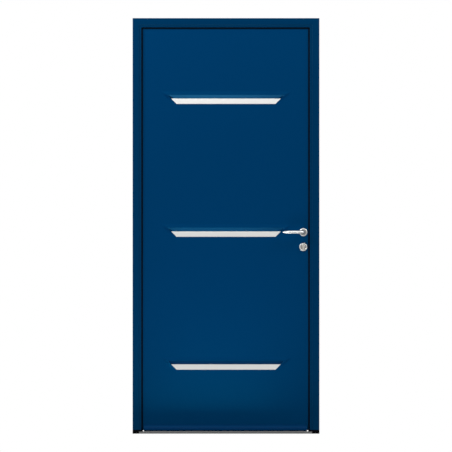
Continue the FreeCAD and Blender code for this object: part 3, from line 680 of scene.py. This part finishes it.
hinge_rows = {"frame": [], "leaf": []}
for number, base in enumerate(HINGE_BASES, start=1):
    middle, top = base + HINGE_HEIGHT / 2, base + HINGE_HEIGHT
    face = FRAME_BACK + PLATE_THICK - SCREW_SEAT
    halves = (("frame", -1, base, middle, middle), ("leaf", 1, middle + HALF_GAP, top, top - HALF_GAP))
    for body, side, low, web_top, knuckle_top in halves:
        shape = bmesh.new()
        near = AXIS[0] + side * PLATE_NEAR
        hinge_plate(shape, AXIS[0] + side * PLATE_FAR, near, base)
        hinge_web(shape, near, low, web_top)
        softened(shape, EDGE_ROUND)
        knuckle(shape, low, knuckle_top)
        if body == "frame":
            pin = [(PIN, middle - PIN_ROOT), (PIN, top - PIN_ROUND), (PIN - PIN_ROUND, top)]
            turned(shape, pin, "z", AXIS)
        half = mesh_object(shape, f"hinge_{number}_{body}_half", hinge_steel, 30)
        fitted(half, body, "hinge_steel", f"hinge_{body}_half_{number}")
        first = (AXIS[0] + side * SCREW_OUT, face, base + SCREW_FIRST)
        hinge_rows[body].append((3, first, (0, 0, SCREW_STEP)))
for body, rows in hinge_rows.items():
    screws(f"hinge_screws_{body}", body, "hinge_steel", 4.2, FACING_ROOM, rows)

# Leaf core and edges
# A rigid foam slab is glued between the skins. Planed softwood stiles and rails close it all
# round and show as a narrow strip between the folded edges of the skins.
core_foam = coated("core_foam", (0.72, 0.62, 0.38), 0.9, 0.002)
edge_timber = bpy.data.materials.new("edge_timber")
edge_timber.use_nodes = True
timber, timber_shader = edge_timber.node_tree, shader_of(edge_timber)
timber_shader.inputs["Roughness"].default_value = 0.65
grain = new_node(timber, "ShaderNodeGroup", {"Stretch": (160.0, 160.0, 5.0)}, node_tree=drawn_grain)
early_and_late = {"A": (0.30, 0.18, 0.09, 1), "B": (0.56, 0.40, 0.24, 1)}
tint = new_node(timber, "ShaderNodeMix", early_and_late, data_type="RGBA")
wire(timber, (grain, "Height", tint, "Factor"), (tint, "Result", timber_shader, "Base Color"))
dressed("leaf_core", core_foam)
for node in ("leaf_hinge_stile", "leaf_lock_stile", "leaf_top_rail", "leaf_bottom_rail"):
    dressed(node, edge_timber)

# Outer skin
# A one-millimetre steel sheet, folded back along its four edges and powder coated. Three scoops
# are pressed into it: a swell runs out to a ridge, and a facet under it turns back to the insert.
LEAF_LEFT, LEAF_RIGHT, LEAF_BOTTOM, LEAF_TOP = -451.5, 443.5, 18.0, 2139.0
SHEET, FOLD_RADIUS, FOLD_STEPS, SKIN_RETURN = 1.0, 1.5, 4, 12.0
SCOOP_HEADS = [365.0, 1062.0, 1759.0]
INSERT_HEIGHT, INSERT_HALF = 30.0, 290.0
FACET_HEIGHT, SCOOP_DEPTH, INSERT_PLATE = 19.0, 9.0, 1.5
SWELL_HEIGHT, SWELL_RISE = 22.0, 3.0
SCOOP_REACH = FACET_HEIGHT + SWELL_HEIGHT
STEP_BELOW, STEP_WIDTH, WALL_WIDTH = 1.0, 1.5, 3.0
HANDLE_X, HANDLE_Z, KEY_Z = 406.0, 1057.0, 987.0
OPENING_HALF, KEY_BELOW, KEY_ABOVE = 11.0, 26.0, 10.0
LOCK_SIDES = (HANDLE_X - OPENING_HALF, HANDLE_X + OPENING_HALF)
LOCK_LEVELS = (KEY_Z - KEY_BELOW, KEY_Z + KEY_ABOVE, HANDLE_Z - OPENING_HALF, HANDLE_Z + OPENING_HALF)
leaf_paint = powder_coat("leaf_paint", (0.0, 0.0233, 0.090))


def scoop_half_width(z):
    """Where the columns of the sheet's mesh run: along the slanted ends of each scoop."""
    knots = [(LEAF_BOTTOM, INSERT_HALF - INSERT_HEIGHT)]
    for head in SCOOP_HEADS:
        knots += [
            (head - INSERT_HEIGHT, INSERT_HALF - INSERT_HEIGHT),
            (head + SCOOP_REACH, INSERT_HALF + SCOOP_REACH),
        ]
    knots.append((LEAF_TOP, INSERT_HALF + SCOOP_REACH))
    for (low, first), (high, second) in zip(knots, knots[1:]):
        if z <= high:
            return first + (second - first) * (z - low) / (high - low)
    return knots[-1][1]


def eased(share):
    share = min(max(share, 0.0), 1.0)
    return (1 - math.cos(math.pi * share)) / 2


def sheet_depth(x, z):
    """How far the sheet lies behind the leaf's face; a swell stands in front of it."""
    for head in SCOOP_HEADS:
        level = z - head
        if not -INSERT_HEIGHT - STEP_BELOW <= level <= SCOOP_REACH:
            continue
        side = abs(x) - (INSERT_HALF + level)
        climb = eased((level + INSERT_HEIGHT) / (FACET_HEIGHT + INSERT_HEIGHT))
        above = eased(1 - (level - FACET_HEIGHT) / SWELL_HEIGHT) if level > FACET_HEIGHT else climb
        outside = -SWELL_RISE * above * (eased(1 - side / SWELL_HEIGHT) if side > 0 else 1)
        if level >= FACET_HEIGHT:
            return outside
        if level >= 0:
            inside = SCOOP_DEPTH - (SCOOP_DEPTH + SWELL_RISE) * level / FACET_HEIGHT
        else:
            share = max(level + INSERT_HEIGHT, 0) / INSERT_HEIGHT
            step = INSERT_PLATE * eased((level + INSERT_HEIGHT + STEP_BELOW) / STEP_WIDTH)
            inside = step + (SCOOP_DEPTH - INSERT_PLATE) * share
        wall = eased((side + WALL_WIDTH) / WALL_WIDTH)
        return inside * (1 - wall) + outside * wall
    return 0.0


def sheet_rows():
    """Heights of the mesh's rows: close at each crease and wide apart on the flats."""
    rows = {LEAF_BOTTOM + FOLD_RADIUS, LEAF_TOP - FOLD_RADIUS, *LOCK_LEVELS}
    offsets = [-31.5, -31, -30.5, -30, -29.5, -28, -24, -18, -12, -6, -2, -0.7, 0, 0.7, 2, 5, 9, 13, 16]
    offsets += [17.4, 18.3, 19, 19.7, 20.6, 22, 24, 26.5, 29, 31.5, 34, 36.5, 39, 41, 44]
    for head in SCOOP_HEADS:
        rows |= {head + offset for offset in offsets}
    rows |= {120.0, 220.0, 480.0, 600.0, 720.0, 840.0}
    rows |= {1180.0, 1300.0, 1420.0, 1540.0, 1640.0, 1900.0, 2020.0}
    return sorted(rows)


def sheet_columns(z):
    """Places of the mesh's columns at one height, which keep to the scoops' slanted ends."""
    half = scoop_half_width(z)
    offsets = [-230, -150, -80, -40, -16, -6, -3, -2.2, -1.5, -0.8]
    offsets += [0, 0.8, 2, 4, 7, 10, 13, 16, 19, 22, 26]
    right = [half + offset for offset in offsets]
    left = [-x for x in reversed(right)]
    left_edge, beside, right_edge = LEAF_LEFT + FOLD_RADIUS, -420.0, LEAF_RIGHT - FOLD_RADIUS
    return [left_edge, beside, *left, 0.0, *right, *LOCK_SIDES, right_edge]


def skin_folds(shape, border, face, inward, sheet_corners):
    """Fold the border of a skin back in a small radius, down to the returns' ends."""
    left, right, bottom, top = sheet_corners
    near = 0.01
    rings = [border]
    turns = [math.radians(90 / FOLD_STEPS * step) for step in range(1, FOLD_STEPS + 1)]
    stages = [(FOLD_RADIUS * math.sin(turn), FOLD_RADIUS * (1 - math.cos(turn))) for turn in turns]
    stages.append((FOLD_RADIUS, SKIN_RETURN))
    for out, back in stages:
        ring = []
        for vert in border:
            x, z = vert.co.x / MM, vert.co.z / MM
            x += out * ((x >= right - near) - (x <= left + near))
            z += out * ((z >= top - near) - (z <= bottom + near))
            ring.append(shape.verts.new(Vector((x, face + inward * back, z)) * MM))
        rings.append(ring)
    bridged(shape, rings, capped=False)


def pressed_sheet(shape, rows, columns, face, inward, depth):
    """The flat of a skin with its lock openings, then its folded edges."""
    key_low, key_high, handle_low, handle_high = LOCK_LEVELS
    grid = []
    for z in rows:
        places = [Vector((x, face + inward * depth(x, z), z)) * MM for x in columns(z)]
        grid.append([shape.verts.new(place) for place in places])
    for row, (lower, upper) in enumerate(zip(grid, grid[1:])):
        for column in range(len(lower) - 1):
            corners = (lower[column], lower[column + 1], upper[column + 1], upper[column])
            x = sum(corner.co.x for corner in corners) / 4 / MM
            z = (rows[row] + rows[row + 1]) / 2
            at_lock = LOCK_SIDES[0] < x < LOCK_SIDES[1]
            if not (at_lock and (key_low < z < key_high or handle_low < z < handle_high)):
                shape.faces.new(corners)
    border = list(grid[0]) + [row[-1] for row in grid[1:]]
    border += list(reversed(grid[-1][:-1])) + [row[0] for row in reversed(grid[1:-1])]
    corners = (grid[0][0].co.x / MM, grid[0][-1].co.x / MM, rows[0], rows[-1])
    skin_folds(shape, border, face, inward, corners)


def sheet_object(shape, name, finish, inward):
    """Give the open shell of a sheet its thickness, on its inner side."""
    bmesh.ops.recalc_face_normals(shape, faces=shape.faces)
    middle = min(shape.faces, key=lambda item: (item.calc_center_median() - Vector((0, 0, 1))).length)
    if middle.normal.y * inward > 0:
        bmesh.ops.reverse_faces(shape, faces=shape.faces)
    made = shape_object(shape, name, finish)
    thick = made.modifiers.new("thickness", "SOLIDIFY")
    thick.thickness = SHEET * MM
    thick.offset = -1
    thick.use_even_offset = True
    return smoothed(applied(made), 40)


shape = bmesh.new()
pressed_sheet(shape, sheet_rows(), sheet_columns, LEAF_FRONT, 1, sheet_depth)
outer_skin = sheet_object(shape, "outer_skin_sheet", leaf_paint, 1)
fitted(outer_skin, "leaf", "blue_paint", "leaf_outer_skin")

# Inner skin
# The same folded and coated sheet closes the room side of the leaf. It is plain, with openings
# for the spindle and the key cylinder only.
inner_rows = [LEAF_BOTTOM + FOLD_RADIUS, *LOCK_LEVELS, LEAF_TOP - FOLD_RADIUS]
inner_columns = [LEAF_LEFT + FOLD_RADIUS, 0.0, *LOCK_SIDES, LEAF_RIGHT - FOLD_RADIUS]
shape = bmesh.new()
pressed_sheet(shape, inner_rows, lambda z: inner_columns, LEAF_BACK, -1, lambda x, z: 0.0)
inner_skin = sheet_object(shape, "inner_skin_sheet", leaf_paint, -1)
fitted(inner_skin, "leaf", "blue_paint", "leaf_inner_skin")

# Inserts
# Each scoop holds a brushed stainless plate with slanted ends. It is cut from sheet, its edges
# are eased, and it is glued to the floor of the scoop.
insert_stainless = drawn_metal("insert_stainless", (0.60, 0.60, 0.59), 0.33, (2.0, 500.0, 700.0), 0.05)
INSERT_GAP = 1.0
lean = (SCOOP_DEPTH - INSERT_PLATE) / INSERT_HEIGHT
for place, head in zip(("bottom", "middle", "top"), SCOOP_HEADS):
    foot, crown = head - INSERT_HEIGHT + INSERT_GAP, head - INSERT_GAP
    shape = bmesh.new()
    corners = []
    for height, half, front in (
        (foot, INSERT_HALF - INSERT_HEIGHT + INSERT_GAP, lean * INSERT_GAP),
        (crown, INSERT_HALF - INSERT_GAP, lean * (INSERT_HEIGHT - INSERT_GAP)),
    ):
        back = front + INSERT_PLATE
        for x, depth in ((-half, front), (half, front), (half, back), (-half, back)):
            corners.append(shape.verts.new(Vector((x, LEAF_FRONT + depth, height)) * MM))
    for face in ((0, 1, 5, 4), (1, 2, 6, 5), (2, 3, 7, 6), (3, 0, 4, 7), (3, 2, 1, 0), (4, 5, 6, 7)):
        shape.faces.new([corners[index] for index in face])
    softened(shape, 0.6, angle=30)
    insert = mesh_object(shape, f"insert_{place}_plate", insert_stainless, 25)
    fitted(insert, "leaf", "insert_stainless", f"insert_{place}")

# Weather bar and bottom seal
# A coated aluminium drip bar is screwed on from behind along the foot of the leaf. Its cove
# throws the rain clear of the threshold, and a rubber seal behind it closes the gap below.
BAR_LEFT, BAR_RIGHT, BAR_FRONT = -431.0, 424.5, LEAF_FRONT - 24.0
BAR_BOTTOM = LEAF_BOTTOM - 0.5
BAR_TOP, BAR_FIN = BAR_BOTTOM + 32.0, LEAF_FRONT - 3.0
COVE, COVE_FIRST = 22.5, -math.radians(4)
cove_centre = BAR_FIN - COVE
cove_lip = BAR_TOP - math.sqrt(COVE**2 - (BAR_FRONT - cove_centre) ** 2)
cove_sweep = math.asin((cove_lip - BAR_TOP) / COVE) - COVE_FIRST
bar_outline = rounded([(LEAF_FRONT, BAR_BOTTOM, 0), (LEAF_FRONT, BAR_TOP, 0.6), (BAR_FIN, BAR_TOP, 1.0)])
bar_outline += arc(cove_centre, BAR_TOP, COVE, COVE_FIRST, cove_sweep, steps=15)[1:]
foot_corners = [(LEAF_FRONT, BAR_TOP, 0), (BAR_FRONT, cove_lip, 0), (BAR_FRONT, BAR_BOTTOM, 1.2)]
foot_corners.append((LEAF_FRONT, BAR_BOTTOM, 0))
bar_outline += rounded(foot_corners)[2:-1]
bar_paint = powder_coat("bar_paint", (0.0, 0.028, 0.104), roughness=0.5, gloss=0.4, patch_size=0.3)
bar = bar_object("weather_bar_drip", bar_paint, bar_outline, "x", BAR_LEFT, BAR_RIGHT)
fitted(bar, "leaf", "blue_paint", "weather_bar")
SEAL_IN, SEAL_WIDTH, SEAL_LEAN, SEAL_CLEAR = 6.0, 10.0, 3.0, 0.5
seal_front = LEAF_FRONT + SEAL_IN
seal_back, seal_foot = seal_front + SEAL_WIDTH, SILL_TOP + SEAL_CLEAR
seal_corners = [(seal_front - SEAL_LEAN, seal_foot, 1.0), (seal_back - SEAL_LEAN, seal_foot, 1.5)]
seal_corners += [(seal_back, LEAF_BOTTOM, 0), (seal_front, LEAF_BOTTOM, 0)]
outline = rounded(seal_corners)
seal = bar_object("bottom_seal_strip", gasket_rubber, outline, "x", BAR_LEFT, BAR_RIGHT)
fitted(seal, "leaf", "black_rubber", "bottom_seal")

# Lock
# A long plated faceplate is let into the lock stile over the lock case. The latch and three
# bolts come through it, and here they are drawn back so that the leaf is free to swing.
PLATE_INSET, CASE_TOP, CASE_LENGTH = 10.0, 1121.0, 208.0
for node in ("latch_bolt", "dead_bolt", "upper_bolt", "lower_bolt"):
    dressed(node, lock_steel)
_, _, plate_low, plate_face, _, plate_high = dressed("lock_faceplate", lock_steel)
across = plate_face + SCREW_SEAT
plate_span = plate_high - plate_low - 2 * PLATE_INSET
plate_rows = [
    (2, (across, FIXING_DEPTH, plate_low + PLATE_INSET), (0, 0, plate_span)),
    (2, (across, FIXING_DEPTH, CASE_TOP), (0, 0, -CASE_LENGTH)),
    (1, (across, FIXING_DEPTH, KEY_Z), (0, 0, 0)),
]
screws("faceplate_screws", "leaf", "lock_steel", 3.6, FACING_RIGHT, plate_rows)

# Key cylinder
# A nickel-plated brass cylinder runs through the leaf: a round barrel over a narrow web, with a
# turning plug and a sunk keyway at each end.
cylinder_nickel = drawn_metal("cylinder_nickel", (0.50, 0.48, 0.44), 0.28, (900.0, 40.0, 900.0))
ROSE_THICK = 9.0
CYLINDER_PROUD = 2.0
BARREL, WEB_HALF, CYLINDER_HEIGHT = 8.5, 5.0, 33.0
PLUG_RADIUS, KEYWAY_DEPTH = 6.5, 3.5
shape = bmesh.new()
join = math.asin(WEB_HALF / BARREL)
first, sweep = math.pi / 2 - math.pi + join, 2 * math.pi - 2 * join
cylinder_outline = arc(HANDLE_X, KEY_Z, BARREL, first, sweep, steps=36)
web_foot = KEY_Z + BARREL - CYLINDER_HEIGHT
cylinder_outline += arc(HANDLE_X, web_foot + WEB_HALF, WEB_HALF, math.pi, math.pi, steps=12)
outside_end = LEAF_FRONT - ROSE_THICK - CYLINDER_PROUD
inside_end = LEAF_BACK + ROSE_THICK + CYLINDER_PROUD
extruded(shape, cylinder_outline, "y", outside_end, inside_end)
softened(shape, 0.5, angle=60)


def keyway_reach(angle, blade=1.0, head=1.5, head_from=0.55, half_height=4.6):
    """The reach of the slot for the key, a little wider at its head."""
    c, s = max(abs(math.cos(angle)), 1e-6), math.sin(angle)
    width = head if s > head_from else blade
    return min(width / c, half_height / max(abs(s), 1e-6))


for face, outward in ((outside_end, -1), (inside_end, 1)):
    plug = bmesh.new()
    recessed_disc(plug, PLUG_RADIUS, keyway_reach, KEYWAY_DEPTH, steps=48)
    turn = Matrix.Rotation(math.radians(90 * -outward), 4, "X")
    place = Matrix.Translation(Vector((HANDLE_X, face, KEY_Z)) * MM) @ turn
    if outward > 0:
        place = place @ Matrix.Rotation(math.pi, 4, "Z")
    plug.transform(place)
    plug_mesh = bpy.data.meshes.new("plug")
    plug.to_mesh(plug_mesh)
    plug.free()
    shape.from_mesh(plug_mesh)
cylinder = mesh_object(shape, "key_cylinder_body", cylinder_nickel, 30)
fitted(cylinder, "leaf", "cylinder_nickel", "lock_cylinder")

# Roses
# Turned stainless covers, two outside and two inside, clip over the lock's fixings. Each has a
# bevelled rim, a flat ring and a shallow dish round the lever's neck or the key cylinder.
ROSE_RADIUS, RIM_WIDTH, DISH_DEPTH = 22.0, 6.4, 1.2
NECK_RADIUS, NECK_PLAY, KEY_BORE = 9.0, 0.3, 3.0
KEY_ROSE_Z = 979.0
ROSES = (("handle", HANDLE_Z, NECK_RADIUS + NECK_PLAY), ("key", KEY_ROSE_Z, KEY_BORE))
# Points over the rim and the ring to the dish: how far in from the edge and down each one lies.
RIM_POINTS = [(0, 2.9), (0.3, 2.4), (2.2, 0.3), (2.8, 0), (5.4, 0), (5.8, 0.2), (6.6, 1.1)]
RIM_POINTS.append((7.0, DISH_DEPTH))
handle_steel = drawn_metal("handle_steel", (0.66, 0.66, 0.65), 0.27, (400.0,) * 3, 0.05, 0.00001)
# The dish steel is the rim's stainless made much darker: painted shade in the hollow round the neck or
# the cylinder.
shaded_dish_steel = drawn_metal("shaded_dish_steel", (0.28, 0.265, 0.25), 0.36, (700.0,) * 3, 0.08)
rose_profile = [(ROSE_RADIUS - 0.4, 0), (ROSE_RADIUS, 0.4)]
rose_profile += [(ROSE_RADIUS - inset, ROSE_THICK - down) for inset, down in RIM_POINTS]
for side, leaf_face, outward in (("outside", LEAF_FRONT, -1), ("inside", LEAF_BACK, 1)):
    for part, height, bore in ROSES:
        profile = rose_profile + [(bore, ROSE_THICK - DISH_DEPTH), (bore, 0)]
        shape = bmesh.new()
        placed = [(radius, leaf_face + outward * level) for radius, level in profile]
        turned(shape, placed, "y", (HANDLE_X, height), steps=64)
        rose = mesh_object(shape, f"{side}_{part}_rose_cover", handle_steel, 25)
        # Faces inside the flat ring take the darker steel, as painted shade.
        rose.data.materials.append(shaded_dish_steel)
        for face in rose.data.polygons:
            off_centre = math.hypot(face.center.x / MM - HANDLE_X, face.center.z / MM - height)
            face.material_index = int(off_centre < ROSE_RADIUS - RIM_WIDTH)
        fitted(rose, "leaf", "handle_steel", f"{side}_{part}_rose")

# Levers
# Each lever is a bent stainless bar with a tapered, rounded tip. A grub screw holds its neck on
# the square spindle, which turns the latch.
LEVER_STAND, LEVER_BEND, LEVER_LENGTH = 50.0, 14.0, 110.0
LEVER_TAPER, LEVER_NOSE = 40.0, 3.5
NECK_FOOT, GRIP_BREAK = 1.0, 20.0
BEND_STEPS, TAPER_STEPS, TIP_STEPS, LEVER_SIDES = 12, 10, 8, 48
GRUB_OUT, GRUB_SEAT = 18.0, 0.1
dressed("spindle", lock_steel)


def lever_stations(face, outward):
    """Centre, direction and radius of each ring of the lever, from its neck to its tip."""
    grip = face + outward * LEVER_STAND
    stations = [(HANDLE_X, face + outward * NECK_FOOT, 0.0, NECK_RADIUS)]
    for step in range(BEND_STEPS + 1):
        angle = math.pi / 2 * step / BEND_STEPS
        x = HANDLE_X - LEVER_BEND * (1 - math.cos(angle))
        y = grip - outward * LEVER_BEND * (1 - math.sin(angle))
        stations.append((x, y, angle, NECK_RADIUS))
    drop, run = NECK_RADIUS - LEVER_NOSE, LEVER_TAPER - LEVER_NOSE
    span = (drop**2 + run**2) / (2 * drop)
    largest = math.asin(run / span)
    shoulder = HANDLE_X - LEVER_LENGTH + LEVER_TAPER
    stations.append((shoulder + GRIP_BREAK, grip, math.pi / 2, NECK_RADIUS))
    for step in range(TAPER_STEPS + 1):
        angle = largest * step / TAPER_STEPS
        radius = NECK_RADIUS - (span + LEVER_NOSE) * (1 - math.cos(angle))
        stations.append((shoulder - (span + LEVER_NOSE) * math.sin(angle), grip, math.pi / 2, radius))
    for step in range(1, TIP_STEPS):
        angle = largest + (math.pi / 2 - largest) * step / TIP_STEPS
        x = HANDLE_X - LEVER_LENGTH + LEVER_NOSE * (1 - math.sin(angle))
        stations.append((x, grip, math.pi / 2, LEVER_NOSE * math.cos(angle)))
    return stations


for side, face, outward in (("outside", LEAF_FRONT, -1), ("inside", LEAF_BACK, 1)):
    shape = bmesh.new()
    rings = []
    for x, y, bend, radius in lever_stations(face, outward):
        ring = []
        for across, rise in circle(0, 0, radius, LEVER_SIDES):
            point = (x + across * math.cos(bend), y + outward * across * math.sin(bend), HANDLE_Z + rise)
            ring.append(shape.verts.new(Vector(point) * MM))
        rings.append(ring)
    bridged(shape, rings)
    lever = mesh_object(shape, f"{side}_lever_bar", handle_steel, 40)
    fitted(lever, "handle", "handle_steel", f"{side}_lever")
grub_place = (HANDLE_X, LEAF_FRONT - GRUB_OUT, HANDLE_Z - NECK_RADIUS + GRUB_SEAT)
grub_row = (2, grub_place, (0, LEAF_BACK - LEAF_FRONT + 2 * GRUB_OUT, 0))
screws("lever_grub_screws", "handle", "handle_steel", 2.2, FACING_DOWN, [grub_row], hexagon_reach)

# Setting
# A pale studio floor that fades to white away from the door, soft lamps, and a camera without
# perspective, square to the outside of the door.
VIEW_HEIGHT, VIEW_WIDTH, VIEW_DISTANCE = 1.0895, 2.3712, 6
FLOOR_HALF, FLOOR_DROP = 6, 0.0005
AMBIENT = 0.15
# Each lamp: its name, place, target, width, depth and power.
LAMPS = (
    ("left_lamp", (-2.0, -1.3, 2.9), (0, 0, 2.0), 0.9, 0.9, 46),
    ("right_lamp", (2.0, -1.3, 2.9), (0, 0, 2.0), 0.9, 0.9, 29),
    ("top_lamp", (-0.12, -1.45, 3.4), (-0.04, 0, 1.3), 1.0, 0.7, 10),
    ("high_lamp", (-0.75, -3.0, 3.4), (-0.3, 0, 1.76), 1.0, 0.5, 0.5),
    ("low_lamp", (-0.09, -0.94, 0.05), (-0.09, -1.0, 1.05), 0.68, 0.78, 11.5),
    ("room_low_lamp", (0.35, 0.8, 0.01), (0.35, 0.8, 1), 1.2, 1.1, 10.5),
    ("room_lamp", (0.9, 3.2, 2.4), (0, 0, 1.1), 2.4, 2.4, 60),
)

studio_floor = coated("studio_floor", (0.80, 0.80, 0.80), 0.8, 0.01, depth=0.00001)
floor_tree, floor_shader = studio_floor.node_tree, shader_of(studio_floor)
floor_shader.inputs["Emission Color"].default_value = (1, 1, 1, 1)
floor_place = new_node(floor_tree, "ShaderNodeTexCoord")
from_door = new_node(floor_tree, "ShaderNodeVectorMath", operation="LENGTH")
fade = {"From Min": 0.9, "From Max": 3.4, "To Max": 0.84}
paler = new_node(floor_tree, "ShaderNodeMapRange", fade, interpolation_type="SMOOTHSTEP")
floor_rays = new_node(floor_tree, "ShaderNodeLightPath")
shown = new_node(floor_tree, "ShaderNodeMath", operation="MULTIPLY")
wire(
    floor_tree,
    (floor_place, "Object", from_door, 0),
    (from_door, "Value", paler, "Value"),
    (paler, "Result", shown, 0),
    (floor_rays, "Is Camera Ray", shown, 1),
    (shown, "Value", floor_shader, "Emission Strength"),
)
signs = ((-1, -1), (1, -1), (1, 1), (-1, 1))
corners = [(x * FLOOR_HALF, y * FLOOR_HALF, -FLOOR_DROP) for x, y in signs]
floor_mesh = bpy.data.meshes.new("floor")
floor_mesh.from_pydata(corners, [], [(0, 1, 2, 3)])
floor_mesh.materials.append(studio_floor)
scene_object("floor", floor_mesh)

world = bpy.data.worlds.new("studio")
bpy.context.scene.world = world
world.use_nodes = True
sky = world.node_tree
background = sky.nodes["Background"]
background.inputs["Color"].default_value = (1, 1, 1, 1)
rays = new_node(sky, "ShaderNodeLightPath")
seen, also_glass = [new_node(sky, "ShaderNodeMath", operation="MAXIMUM") for _ in range(2)]
level = new_node(sky, "ShaderNodeMapRange", {"To Min": AMBIENT, "To Max": 1.0})
wire(
    sky,
    (rays, "Is Camera Ray", seen, 0),
    (rays, "Is Glossy Ray", seen, 1),
    (seen, "Value", also_glass, 0),
    (rays, "Is Transmission Ray", also_glass, 1),
    (also_glass, "Value", level, "Value"),
    (level, "Result", background, "Strength"),
)

for name, place, target, width, depth, power in LAMPS:
    lamp = bpy.data.lights.new(name, "AREA")
    lamp.shape = "RECTANGLE"
    lamp.size = width
    lamp.size_y = depth
    lamp.energy = power
    lamp_object = scene_object(name, lamp)
    lamp_object.location = place
    lamp_object.rotation_mode = "QUATERNION"
    lamp_object.rotation_quaternion = (Vector(target) - Vector(place)).to_track_quat("-Z", "Y")
    lamp_object.visible_camera = False

camera = bpy.data.cameras.new("camera")
camera.type = "ORTHO"
camera.ortho_scale = VIEW_WIDTH
camera_object = scene_object("camera", camera)
camera_object.location = (0, -VIEW_DISTANCE, VIEW_HEIGHT)
camera_object.rotation_euler = (math.radians(90), 0, 0)
bpy.context.scene.camera = camera_object
bpy.context.scene.view_settings.view_transform = "Standard"
